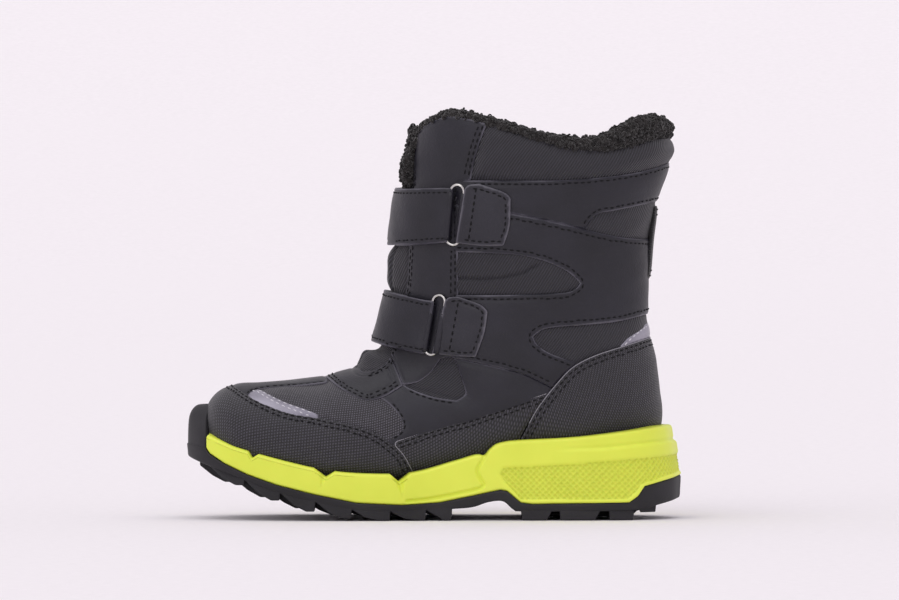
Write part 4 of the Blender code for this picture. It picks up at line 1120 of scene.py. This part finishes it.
def make_footbed():
    """The pile-covered footbed, lying on the board, as a soft plate."""
    low, high = (np.array(c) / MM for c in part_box("footbed"))
    node = frame["nodes"]["footbed"]
    bm = bmesh.new()
    bm.from_mesh(node.data)
    bmesh.ops.remove_doubles(bm, verts=bm.verts, dist=1e-6)
    bm.normal_update()
    tree = BVHTree.FromBMesh(bm)
    bm.free()
    count_x, count_y = 210, 84
    xs = np.linspace(low[0] + 0.5, high[0] - 0.5, count_x)
    ys = np.linspace(low[1], high[1], count_y)
    top = np.full((count_x, count_y), np.nan)
    for i, a in enumerate(xs):
        for j, b in enumerate(ys):
            hit = tree.ray_cast(Vector((a, b, high[2] + 5)) * MM, Vector((0, 0, -1)))[0]
            if hit:
                top[i, j] = hit.z / MM
    bm = bmesh.new()
    bmesh.ops.create_grid(bm, x_segments=count_x - 1, y_segments=count_y - 1, size=0.5)
    gone = []
    for vert in bm.verts:
        i, j = round((vert.co.x + 0.5) * (count_x - 1)), round((vert.co.y + 0.5) * (count_y - 1))
        if math.isnan(top[i, j]):
            gone.append(vert)
            continue
        point = Vector((xs[i], ys[j], top[i, j]))
        point.z += curl_height(point, 4.2) * 1.4 - 0.9
        vert.co = point * MM
    bmesh.ops.delete(bm, geom=gone, context="VERTS")
    bed = walled("footbed_pile", bm, PILE, ROOT, 2.6)
    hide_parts("footbed")


def make_tongue_top():
    """The tongue's padded top with its pile, on the body that tilts with it."""
    rides = "tongue_top_body"
    outline = outline_of(((-40, 150.9), (-40, 176)), ((-40, 176), (-4, 176)),
                         ((-4, 176), (-4, 150.9)), ((-4, 150.9), (-40, 150.9)))

    def kept(points):
        y, z = points[..., 1], points[..., 2]
        return np.minimum(11.2 - np.abs(y), 172.0 - z - (y / 11.2) ** 4 * 3)

    bm = cut_sheet(outline, "back_seam", 0.4, relief(0.9, 2.0, uneven=0.3, reach=4.0), kept)
    pad = link("tongue_top_pad", mesh_of(bm, "tongue_top_pad"), TWILL, rides)
    thicken(inflated(pad, 2.0), 2.4)
    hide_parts("tongue_top")
    heights = np.linspace(17.95, 20, 60)
    side = [(u, float(front_turn(np.array(u), 8.6))) for u in heights]
    over = [(20.0 + 0.1 * math.sin(a * math.pi), side[-1][1] * (1 - 2 * a))
            for a in np.linspace(0, 1, 30)[1:-1]]
    path = np.array(side + over + [(u, -t) for u, t in side[::-1]])
    for _ in range(8):
        path[1:-1] = (path[:-2] + path[1:-1] * 2 + path[2:]) / 4
    u, turn = path.T
    flat = surface(u, turn, np.zeros_like(u))
    normal = surface(u, turn, np.ones_like(u)) - flat
    points = surface(u, turn, np.full_like(u, -1.2))
    ones = np.ones_like(u)
    roll = pile_roll("tongue_pile_roll", points, normal, 2.6 * ones, 3.4 * ones,
                     (0.2 * ones, 0 * ones), rides)
    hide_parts("tongue_pile")
    curls_on("tongue_pile_curls", roll, 900, rides, 11)

    def lumps(edge, points):
        return np.array([-curl_height(p, 4.2) * 1.4 for p in points])

    bm = cut_sheet(outline, "back_seam", -3.4, lumps, kept)
    bmesh.ops.reverse_faces(bm, faces=bm.faces)
    walled("tongue_top_back", bm, PILE, rides, 2.0)


# ---------------------------------------------------------------- straps and rings

JOINTS = {joint["name"]: joint for joint in frame["joints"]}
STRAPS = {
    "upper": {
        "medial": (((-34, 145.4), (-16.7, 146.4), (5.4, 147.6), (10.1, 147.5)),
                   ((10.1, 147.5), (7.8, 123.2)),
                   ((7.8, 123.2), (-12.7, 121.6), (-34, 119.6))),
        "lateral": (((-34, 145.4), (0, 147.4), (29, 145.6)),
                    ((29, 145.6), (33.4, 143.4), (34, 140)),
                    ((34, 140), (34, 127)), ((34, 127), (33, 123.6), (29, 122)),
                    ((29, 122), (0, 122.6), (-34, 119.6))),
        "patch": (126, 142, 28),
        "keeper": (((15.4, 147.6), (16.6, 149.2), (20.4, 149.8)),
                   ((20.4, 149.8), (31, 146), (34.1, 143.3)),
                   ((34.1, 143.3), (33.6, 131), (31, 122)),
                   ((31, 122), (22, 121.9), (11.6, 122.9)),
                   ((11.6, 122.9), (15.4, 147.6))),
        "ring_up": 0.8,
    },
    "lower": {
        "medial": (((-38, 104.6), (-21.6, 101.6), (-3, 97.6), (2, 97.1)),
                   ((2, 97.1), (-2, 73.7)),
                   ((-2, 73.7), (-24.3, 77.2), (-38, 80.8))),
        "lateral": (((-38, 104.6), (-18, 101.2), (0, 98), (25, 96.2)),
                    ((25, 96.2), (29.4, 94), (30, 91)),
                    ((30, 91), (30, 78)), ((30, 78), (29, 74.4), (25, 72.4)),
                    ((25, 72.4), (0, 73.8), (-38, 80.8))),
        "patch": (75, 90, 24),
        "keeper": (((7, 97.2), (8.2, 98.8), (11.6, 99.2)),
                   ((11.6, 99.2), (20.9, 95.7), (24.1, 92.6)),
                   ((24.1, 92.6), (22.6, 83), (18.8, 72.4)),
                   ((18.8, 72.4), (9, 72.9), (1.7, 74)),
                   ((1.7, 74), (7, 97.2))),
        "ring_up": 1.9,
    },
}


def ring_frame(prefix):
    """The ring's two bars: front and rear middles, and the direction up them, in mm."""
    front = Vector(JOINTS[prefix + "_strap_open"]["pos_m"]) / MM
    rear = Vector(JOINTS[prefix + "_ring_swing"]["pos_m"]) / MM
    return front, rear, Vector(JOINTS[prefix + "_ring_swing"]["axis"]).normalized()


def make_ring(prefix, rise):
    """An oval ring of round wire, bent from one length and butted. It sits rise mm above
    the middle of the strap's fold."""
    front, rear, up = ring_frame(prefix)
    centre, across = (front + rear) / 2 + up * rise, (rear - front) / 2
    loop = [centre + across * math.cos(a) + up * (math.sin(a) * across.length + s * RING_SIDE / 2)
            for s, angles in ((1, np.linspace(0, math.pi, 17)),
                              (-1, np.linspace(math.pi, 2 * math.pi, 17))) for a in angles]
    curve = bpy.data.curves.new(prefix + "_wire", "CURVE")
    curve.dimensions = "3D"
    curve.bevel_depth = RING_WIRE * MM
    curve.bevel_resolution = 4
    line = curve.splines.new("POLY")
    line.points.add(len(loop) - 1)
    for point, at in zip(line.points, loop):
        point.co = (*at * MM, 1)
    line.use_cyclic_u = True
    made = bpy.data.objects.new("wire", curve)
    mesh = bpy.data.meshes.new_from_object(made)
    bpy.data.objects.remove(made)
    mesh.shade_smooth()
    ring = link(prefix + "_wire_ring", mesh, NICKEL, prefix + "_ring_body")
    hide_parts(prefix + "_ring")


def surface_foot(point):
    """The (x, z) of the upper's surface under a point that stands off its medial side."""
    patch = np.array([(point.x - 6, point.z - 4), (point.x + 9, point.z - 4),
                      (point.x + 9, point.z + 4), (point.x - 6, point.z + 4)])
    bm = cut_sheet(patch, "medial", 0.0)
    near = BVHTree.FromBMesh(bm).find_nearest(point * MM)[0] / MM
    bm.free()
    return np.array([near.x, near.z])


def sleeve(name, centre, up, rides):
    """The fold of a strap round a bar: a tube with its middle at the bar."""
    bm = bmesh.new()
    bmesh.ops.create_cone(bm, segments=32, radius1=FOLD_RADIUS * MM, cap_ends=False,
                          radius2=FOLD_RADIUS * MM, depth=FOLD_LENGTH * MM)
    long = [e for e in bm.edges if abs(e.verts[0].co.z - e.verts[1].co.z) > 1e-6]
    bmesh.ops.subdivide_edges(bm, edges=long, cuts=8)
    for vert in bm.verts:
        end = abs(vert.co.z) / (FOLD_LENGTH / 2 * MM)
        vert.co.xy *= 1 - 0.10 * max(0.0, end - 0.8) / 0.2
    turn = Vector((0, 0, 1)).rotation_difference(up).to_matrix().to_4x4()
    bmesh.ops.transform(bm, matrix=Matrix.Translation(centre * MM) @ turn, verts=bm.verts)
    walled(name, bm, LEATHER, rides, 0.5)


def sided(medial, lateral):
    """Depth inside one outline on the medial side and another on the lateral."""
    def depth(points):
        flat = points[..., [0, 2]]
        inner, outer = depth_inside(flat, medial), depth_inside(flat, lateral)
        return np.where(points[..., 1] < 0, inner, outer)
    return depth


def make_strap(prefix, lines):
    """One hook-and-loop strap: its sewn under run, its free layer, which turns at its
    middle, the patches that grip, the ring and the keeper that holds the ring."""
    strap, tip = prefix + "_strap_body", prefix + "_end_body"
    front, rear, up = ring_frame(prefix)
    medial, lateral = outline_of(*lines["medial"]), outline_of(*lines["lateral"])
    box = np.array([(-60, 60), (-60, 165), (60, 165), (60, 60)])
    edges = [*lines["medial"][::2], *lines["lateral"]]
    way = np.array([up.x, up.z]) / math.hypot(up.x, up.z)

    def behind(bar, points):
        """How far behind a bar of the ring each point of the surface is, in side view."""
        foot = surface_foot(bar)
        return (points[:, [0, 2]] - foot) @ np.array([way[1], -way[0]])

    def folded(edge, points):
        """The strap's own relief, and its turn round the front bar on the medial side."""
        rise = relief(0.3, 1.6, dent=0.25, uneven=0.25)(edge, points)
        past = np.clip(behind(front, points), 0, 1.85) * (points[:, 1] < 0)
        proud = 0.9 * np.exp(-((points[:, 1] / 15.0) ** 2))
        return rise + proud - (1.9 - np.sqrt(1.9 ** 2 - past ** 2)) * 1.05

    bm = cut_sheet(box, "back_seam", 4.5, folded, sided(medial, lateral))
    stitches = stitch_places(bm, [spline(e) for e in edges], 2.0, 2.9)
    flap = walled(prefix + "_strap", bm, LEATHER, None, 1.4)
    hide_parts(prefix + "_strap_span", prefix + "_strap_end")
    sewn = scatter(prefix + "_strap_stitches", stitch_template(2.3, 0.46), stitches,
                   BLACK_THREAD, None)
    for piece in (flap, sewn):
        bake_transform(piece)
    sleeve(prefix + "_strap_fold", front, up, strap)

    under_medial = medial.copy()
    near = under_medial[:, 0] > front.x - 8
    under_medial[near, 0] -= 2.6
    under_lateral = lateral.copy()
    under_lateral[under_lateral[:, 0] > 20, 0] += 7.0
    bm = cut_sheet(box, "back_seam", 1.6, relief(0.1, 1.4), sided(under_medial, under_lateral))
    under = walled(prefix + "_under", bm, LEATHER, ROOT, 1.1)
    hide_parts(prefix + "_under_run")

    low_z, high_z, far_x = lines["patch"]
    patch = np.array([(2.0, low_z), (far_x, low_z), (far_x, high_z), (2.0, high_z)])
    for kind, out, wall, material, body in (("loop_patch", 2.5, 0.7, PILE, ROOT),
                                            ("hook_patch", 3.1, 0.4, WEBBING, tip)):
        bm = cut_sheet(patch, "lateral", out, relief(0.0, 1.0, uneven=0.0, dent=0.1))
        made = walled(f"{prefix}_{kind}_skin", bm, material, body, wall)
        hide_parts(f"{prefix}_{kind}")

    def drawn_up(edge, points):
        """The keeper lies on the boot and rises to turn round the rear bar of the ring."""
        away = behind(rear, points)
        rise = relief(0.5, 2.2, dent=0.3, uneven=0.2)(edge, points)
        turn = 1.9 - np.sqrt(1.9 ** 2 - np.clip(-away, 0, 1.85) ** 2)
        return rise + 2.7 * np.exp(-np.maximum(away, 0) ** 2 / 14.0) - turn * 1.3

    bm = cut_sheet(outline_of(*lines["keeper"]), "medial", 1.9, drawn_up)
    sew(bm, lines["keeper"][:4], (2.2,), pitch=2.9)
    inner = (((18.6, 148.2), (15.2, 124.6)) if prefix == "upper" else ((10.6, 97.2), (6.6, 75.2)))
    tree = BVHTree.FromBMesh(bm)
    seam = spline(inner, 2.9)
    for a, b in zip(seam, seam[1:]):
        start = Vector((*((a + b) / 2), 0)) * MM
        point, normal, *_ = tree.ray_cast(Vector((start.x, -0.2, start.y)), Vector((0, 1, 0)))
        if point is None:
            continue
        along = Vector((b[0] - a[0], 0, b[1] - a[1])).normalized()
        along = (along - along.dot(normal) * normal).normalized()
        matrix = Matrix((along, normal.cross(along), normal)).transposed().to_4x4()
        matrix.translation = point
        STITCHES["black"].append(matrix)
    # The keeper wears the leather painted lighter, as painted light.
    keeper = walled(prefix + "_keeper_tab", bm, LIT_KEEPER_LEATHER, ROOT, 1.4)
    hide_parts(prefix + "_keeper")
    sleeve(prefix + "_keeper_fold", rear, up, ROOT)
    make_ring(prefix, lines["ring_up"])


# ---------------------------------------------------------------- the sole

SOLE_PLAN = (
    (106, 0), (102, -16), (92, -27.5), (75, -33.5), (50, -35),
    (25, -36), (0, -37.5), (-25, -40.5), (-50, -41.5), (-72, -40),
    (-90, -35), (-102, -26), (-108.3, -15), (-110, -4), (-108, 8),
    (-101, 20), (-88, 30.5), (-70, 38), (-48, 42), (-25, 42.5),
    (0, 40.5), (25, 38.5), (50, 37.5), (75, 34.5), (92, 28), (102, 16),
)
MIDSOLE_FLOOR = (
    (-112, 34), (-102, 32), (-100, 29.2), (-93.7, 25.2), (-83.2, 20.3),
    (-69.8, 15.7), (-53.8, 11.7), (-34.6, 7.8), (-14.5, 6.8), (2.5, 7.9), (16.7, 10.8),
    (29.5, 13.5), (32.4, 12.9), (38.4, 7.8), (43.5, 7.1), (84.6, 7.8), (88, 10.4),
    (90.8, 14.9), (98.8, 17.2), (112, 20.8),
)
ROOT_LINE = (  # the bottom of the outsole's plate, between the lugs
    (-112, 28.4), (-104, 25.2), (-100.3, 23.8), (-84.2, 17.6), (-68.4, 11.8), (-52, 7.9),
    (-35.8, 4.6), (-19.6, 3.8), (-3.3, 4.4), (7.6, 5), (17, 5.8), (24, 8), (30.5, 8.4),
    (35, 4.8), (40, 3.9), (85, 4.2), (98.4, 6.8), (112, 10.4),
)
NOTCHES = ((-83.2, -81.4, -78.5, 2.6), (-53.5, -48.2, -44.2, 3), (-19.5, -15.4, -10.5, 3.4))
CREASES = (  # V-shaped dents below the notches: top x, z, bottom x, z and half width
    (-48, 22, -50.6, 15.4, 3.6), (-15.2, 19, -14.4, 11, 3.2),
)
CHEVRON = ((23.4, 30.6), (22.4, 28.4), (19.1, 21.8), (22, 15.8), (20.9, 14.4), (11.3, 12.1),
           (-2, 9.6), (-12, 8.6))
KNURL = ((30.6, 23.6), (28.7, 20.4), (29.9, 18.2), (38.3, 8.7), (83.8, 8.7), (87.9, 12.3),
         (89.7, 15.4), (98, 18.2), (112, 21.8), (112, 29.6), (85, 27.3), (57.2, 24.9))
KNURL_PITCH = 2.7  # along the sole, between the knurl's raised lines
RIDGE = ((50, 31.4), (73.9, 32.2), (91.7, 33.9), (112, 35.6))
TREAD = (  # the rear tip of each forefoot lug and its height
    (-84.7, 15.6), (-68.8, 8.9), (-53.2, 4), (-37, 1), (-19.9, 0), (-4, 0),
    (7.6, 0),
)
HEEL_LUGS = ((39, 50, 0), (56, 71.5, 0), (78, 88.5, 0), (91.5, 98.5, 3.2))


def sole_halves(steps):
    """The sole's plan as matched points of its medial and lateral halves, heel to toe."""
    line = spline([*SOLE_PLAN, SOLE_PLAN[0]], 0.5)
    toe = int(np.argmin(line[:, 0]))
    halves = []
    for half in (line[:toe + 1], line[toe:][::-1]):
        arc = np.append(0, np.cumsum(np.linalg.norm(np.diff(half, axis=0), axis=1)))
        at = np.linspace(0, arc[-1], steps + 1)
        halves.append(np.stack([np.interp(at, arc, half[:, k]) for k in (0, 1)], axis=1))
    return halves


def sole_ring(steps):
    """The whole plan outline, with its outward normals, closed on itself."""
    medial, lateral = sole_halves(steps)
    line = np.vstack([medial, lateral[-2::-1]])
    way = np.roll(line[:-1], -1, axis=0) - np.roll(line[:-1], 1, axis=0)
    way /= np.linalg.norm(way, axis=1, keepdims=True)
    normal = np.stack([-way[:, 1], way[:, 0]], axis=1)
    return line, np.vstack([normal, normal[:1]])


def flared(line, height):
    """The plan outline at a height: the heel spreads a little towards the ground."""
    heel = np.clip((line[..., 0] - 60.0) / 45.0, 0.0, 1.0)
    flare = np.clip((42.0 - height) / 24.0, 0.0, 1.0) * heel
    return np.stack([line[..., 0] + 3.6 * flare, line[..., 1] * (1 + 0.05 * flare)], axis=-1)


def sole_top(x):
    """The height of the midsole's top edge, with its three notches."""
    edge = spline(SOLE_EDGE, 1.0)
    top = np.interp(x, edge[:, 0], edge[:, 1])
    for start, middle, end, depth in NOTCHES:
        top = top - np.interp(x, (start, middle, end), (0, depth, 0))
    return top


def midsole_relief(x, z, around):
    """How far the midsole's side stands out at (x, z): dents, grooves, the heel's band
    and its knurled panel."""
    flat = np.stack([x, z], axis=-1)
    rise = np.zeros_like(x)
    for top_x, top_z, low_x, low_z, half in CREASES:
        down = np.clip((top_z - z) / (top_z - low_z), 0, 1.2)
        middle = top_x + (low_x - top_x) * down
        width = np.maximum(half * (1 - down), 0.25)
        rise -= 2.6 * (1 - down / 1.2) * np.clip(1 - np.abs(x - middle) / width, 0, 1)
    groove = line_distance(flat, spline(CHEVRON, 1.0))
    rise -= 1.0 * np.exp(-((groove / 0.7) ** 2))
    ridge = spline(RIDGE, 1.0)
    below = np.interp(x, ridge[:, 0], ridge[:, 1]) - z
    band = 1.1 / (1 + np.exp(-below / 0.35)) - 0.9 * np.exp(-((below / 0.8) ** 2))
    rise += band * np.clip((x - 52) / 25, 0, 1)
    inside = depth_inside(flat, np.array(KNURL))
    panel_step = 1 / (1 + np.exp(-inside / 0.3))
    ways = [np.abs(np.sin((around + sign * z) * math.pi / KNURL_PITCH)) for sign in (1, -1)]
    # pit is also the mask for the painted shade that the foam's colour puts in the knurl's pits.
    pit = np.minimum(*ways) ** 0.7 * (inside > 0.5)
    return rise - panel_step * (0.5 + 0.75 * pit), pit


def joined(*parts, pit=None):
    """One closed mesh of several grids that share their borders. pit is the first's."""
    bm = bmesh.new()
    for number, points in enumerate(parts):
        piece = bent_grid(points, pit if number == 0 else None)
        mesh = bpy.data.meshes.new("part")
        piece.to_mesh(mesh)
        piece.free()
        bm.from_mesh(mesh)
        bpy.data.meshes.remove(mesh)
    bmesh.ops.remove_doubles(bm, verts=bm.verts, dist=1e-5)
    bmesh.ops.recalc_face_normals(bm, faces=bm.faces)
    return bm


def make_midsole():
    """The foam midsole: a tray with a sculpted outer wall."""
    steps, rows = 640, 58
    line, normal = sole_ring(steps)
    floor_line = np.array(MIDSOLE_FLOOR)
    x = line[:, 0]
    floor, top = np.interp(x, floor_line[:, 0], floor_line[:, 1]), sole_top(x)
    tucked_in = np.clip((-101.6 - x) / 1.5, 0, 1) * 3.5
    around = np.append(0, np.cumsum(np.linalg.norm(np.diff(line, axis=0), axis=1)))

    def ring(height, out):
        moved = flared(line, height) + normal * (out - tucked_in)[:, None]
        return np.concatenate([moved, height[:, None]], axis=1)

    strips = []
    for angle in (-90, -45, 0):
        a = math.radians(angle)
        height = floor + 0.9 * (1 + math.sin(a))
        strips.append((height, -0.9 * (1 - math.cos(a)) * np.ones_like(x)))
    for share in np.linspace(0, 1, rows)[1:-1]:
        strips.append((floor + 0.9 + share * (top - 2.5 - floor), np.zeros_like(x)))
    for angle in (0, 20, 40, 60, 80):
        a = math.radians(angle)
        height = top - 1.6 * (1 - math.sin(a)) - 0.2
        strips.append((height, -1.6 * (1 - math.cos(a)) * np.ones_like(x)))
    reliefs = [midsole_relief(x, height, around) for height, _ in strips]
    wall = [ring(height, out + rise) for (height, out), (rise, _) in zip(strips, reliefs)]
    wall.append(ring(top, -6.5 * np.ones_like(x)))
    wall.append(ring(np.maximum(top - 9, floor + 2.5), -7.5 * np.ones_like(x)))
    wall = np.stack(wall, axis=1)
    pit = np.stack([p for _, p in reliefs] + [np.zeros_like(x)] * 2, axis=1)
    n = steps + 1

    def halves_of(column):
        ring_points = wall[:, column]
        return [ring_points[:n], ring_points[n - 1:][::-1]]

    def between(column):
        a, b = halves_of(column)
        share = np.linspace(0, 1, 9)[None, :, None]
        return a[:, None] * (1 - share) + b[:, None] * share

    bm = joined(wall, between(0), between(-1), pit=pit)
    midsole = link("midsole_tray", mesh_of(bm, "midsole"), FOAM, ROOT)
    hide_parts("midsole")


def lug(bm, profile, inner, outer):
    """A lug: a side profile of (x, z) points carried from y = inner(x) to outer(x)."""
    first = [bm.verts.new(Vector((x, inner(x), z)) * MM) for x, z in profile]
    face = bm.faces.new(first)
    made = bmesh.ops.extrude_face_region(bm, geom=[face])["geom"]
    for vert in (v for v in made if isinstance(v, bmesh.types.BMVert)):
        vert.co.y = outer(vert.co.x / MM) * MM
    edges = {e for v in first for e in v.link_edges} | {
        e for v in made if isinstance(v, bmesh.types.BMVert) for e in v.link_edges}
    bmesh.ops.bevel(bm, geom=list(edges), offset=0.5 * MM, segments=2, profile=0.5,
                    affect="EDGES", material=-1)


def make_outsole():
    """The rubber outsole: its plate, the lugs and the bumper that climbs the toe."""
    steps = 260
    line, normal = sole_ring(steps)
    x = line[:, 0]
    floor_line, root_line = np.array(MIDSOLE_FLOOR), spline(ROOT_LINE, 1.0)
    top = np.interp(x, floor_line[:, 0], floor_line[:, 1]) - 0.1
    root = np.interp(x, root_line[:, 0], root_line[:, 1])
    rows = []
    for share, out in ((0, 0), (0, 0.35), (0.08, 0.6), (0.3, 0.5), (0.6, 0.3), (0.85, 0.2),
                       (0.97, -0.1), (1, -0.7)):
        height = top + (root - top) * share
        flat = flared(line, height) + normal * out
        rows.append(np.concatenate([flat, height[:, None]], axis=1))
    wall = np.stack(rows, axis=1)
    n = steps + 1

    def between(column, line_z):
        share = np.linspace(0, 1, 41)[None, :, None]
        a, b = wall[:n, column], wall[n - 1:, column][::-1]
        points = a[:, None] * (1 - share) + b[:, None] * share
        points[:, 1:-1, 2] = np.interp(points[:, 1:-1, 0], line_z[:, 0], line_z[:, 1])
        return points

    floor_low = floor_line - [0, 0.1]
    bm = joined(wall, between(0, floor_low), between(-1, root_line))
    sole = link("outsole_plate", mesh_of(bm, "outsole_plate"), RUBBER, ROOT)
    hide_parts("outsole")

    medial, lateral = sole_halves(steps)
    edge = {-1: medial[::-1], 1: lateral[::-1]}

    def reach(side, share):
        def at(px):
            flat = np.array([[px, np.interp(px, edge[side][:, 0], edge[side][:, 1])]])
            return float(flared(flat, np.array([4.0]))[0, 1]) * share
        return at

    def root_at(px):
        return float(np.interp(px, root_line[:, 0], root_line[:, 1]))

    bm = bmesh.new()
    before = -100.5
    for tip, ground in TREAD:
        drop = root_at(before) - ground
        low = ground + max(0.0, drop - 3.4) * 0.45
        profile = [(before + 0.8, root_at(before) + 1.5), (before + 0.8, root_at(before) - 0.2),
                   (before + 6.4, low + 0.7), (tip - 3.8, ground), (tip, ground),
                   (tip + 0.4, root_at(tip) + 1.5)]
        for side in (-1, 1):
            lug(bm, profile, reach(side, 0.56), reach(side, 1.005))
        middle = [(px - 5.0, pz + (0.9 if px > before + 5 else 0.0)) for px, pz in profile]
        lug(bm, middle, reach(-1, 0.6), reach(1, 0.6))
        before = tip
    for start, end, ground in HEEL_LUGS:
        profile = [(start - 0.5, root_at(start) + 1.5), (start, ground), (end, ground),
                   (end + 3.0 if end < 80 else end + 0.5, root_at(end) + 1.5)]
        for side in (-1, 1):
            lug(bm, profile, reach(side, 0.5), reach(side, 1.005))
    spine = [(39.5, 6), (39.5, 1.2), (88, 1.2), (90.5, 3.6), (97, 4.2), (97.5, 8.5)]
    lug(bm, spine, reach(-1, 0.52), reach(1, 0.52))
    bmesh.ops.recalc_face_normals(bm, faces=bm.faces)
    link("outsole_lugs", mesh_of(bm, "outsole_lugs", smooth=False), RUBBER, ROOT)

    at_toe = [k for k in range(len(line)) if x[k] < -101.4]
    front, facing = line[at_toe], normal[at_toe]
    profile = ((27, -0.2), (30, 0.2), (36, 0.2), (42, 0.1), (45.5, -0.3), (47.8, -1.2),
               (49.6, -2.6), (50.6, -4.2), (50.8, -5.8), (49.8, -7.4))
    rows = []
    for height, out in profile:
        narrow = np.clip((height - 36.0) / 16.0, 0.0, 1.0) * 0.45
        moved = front + facing * out
        rows.append(np.stack([moved[:, 0], moved[:, 1] * (1 - narrow),
                              np.full(len(front), height)], axis=1))
    bm = bent_grid(np.stack(rows, axis=1))
    if sum(f.normal.x for f in bm.faces) > 0:
        bmesh.ops.reverse_faces(bm, faces=bm.faces)
    bumper = walled("toe_bumper", bm, RUBBER, ROOT, 3.0)
    smooth = bumper.modifiers.new("Smooth", "SUBSURF")
    smooth.levels = smooth.render_levels = 1


# ---------------------------------------------------------------- studio

def make_studio():
    """A seamless pale floor that curves up far away, soft light and the camera."""
    bm = bmesh.new()
    reach = [(0, 0), (3, 0), (5, 0.02), (6.5, 0.14), (8, 0.42), (9.5, 0.95),
             (11, 1.8), (12.5, 3.1)]
    line = [bm.verts.new((a, 0, b - 0.0002)) for a, b in reach]
    edges = [bm.edges.new(pair) for pair in zip(line, line[1:])]
    bmesh.ops.spin(bm, geom=[*line, *edges], axis=(0, 0, 1), cent=(0, 0, 0), steps=64,
                   angle=2 * math.pi, use_merge=True)
    bmesh.ops.remove_doubles(bm, verts=bm.verts, dist=1e-4)
    bmesh.ops.recalc_face_normals(bm, faces=bm.faces)
    mesh = mesh_of(bm, "floor")
    floor = bpy.data.objects.new("floor", mesh)
    bpy.context.scene.collection.objects.link(floor)
    mesh.materials.append(PAPER)

    bpy.context.scene.view_settings.view_transform = "Standard"
    world = bpy.data.worlds.new("studio")
    bpy.context.scene.world = world
    world.use_nodes = True
    sky = world.node_tree.nodes["Background"]
    sky.inputs["Color"].default_value = linear("#fdf8fd")
    sky.inputs["Strength"].default_value = 0.74
    for name, spread, strength, aim in (("above", 60, 0.75, (0.15, 0.25, -1)),
                                        ("front", 40, 0.35, (0.4, 1, -0.45))):
        light = bpy.data.lights.new(name, "SUN")
        light.angle, light.energy = math.radians(spread), strength
        obj = bpy.data.objects.new(name, light)
        obj.rotation_mode = "QUATERNION"
        obj.rotation_quaternion = Vector(aim).to_track_quat("-Z", "Y")
        bpy.context.scene.collection.objects.link(obj)

    camera = bpy.data.objects.new("camera", bpy.data.cameras.new("camera"))
    bpy.context.scene.collection.objects.link(camera)
    target, away, rise = Vector((6.7, 0.0, 97.2)) * MM, 5.5, math.radians(1.2)
    back = Vector((0, -math.cos(rise), math.sin(rise)))
    camera.location = target + back * away
    camera.rotation_mode = "QUATERNION"
    camera.rotation_quaternion = (-back).to_track_quat("-Z", "Y")
    camera.data.sensor_width = 36.0
    camera.data.lens = 36.0 * (away - 0.014) / 0.4011
    bpy.context.scene.camera = camera


def main():
    make_toe()
    make_throat()
    make_quarters()
    make_heel()
    make_collar()
    make_pile()
    make_footbed()
    make_tongue_top()
    for prefix, lines in STRAPS.items():
        make_strap(prefix, lines)
    make_midsole()
    make_outsole()
    scatter("black_stitches", stitch_template(2.4, 0.46), STITCHES["black"], BLACK_THREAD)
    scatter("silver_stitches", stitch_template(2.2, 0.34), STITCHES["silver"], SILVER_THREAD)
    # Painted highlight: short light beads along the edges that catch light.
    scatter("painted_edge_highlights", stitch_template(1.9, 0.26), STITCHES["edge"], EDGE_HIGHLIGHT_LINE)
    for name in ("toe_puff", "heel_counter", "insole_board"):
        slots = frame["nodes"][name].data.materials
        slots.clear()
        slots.append(FIBRE)
    make_studio()


main()
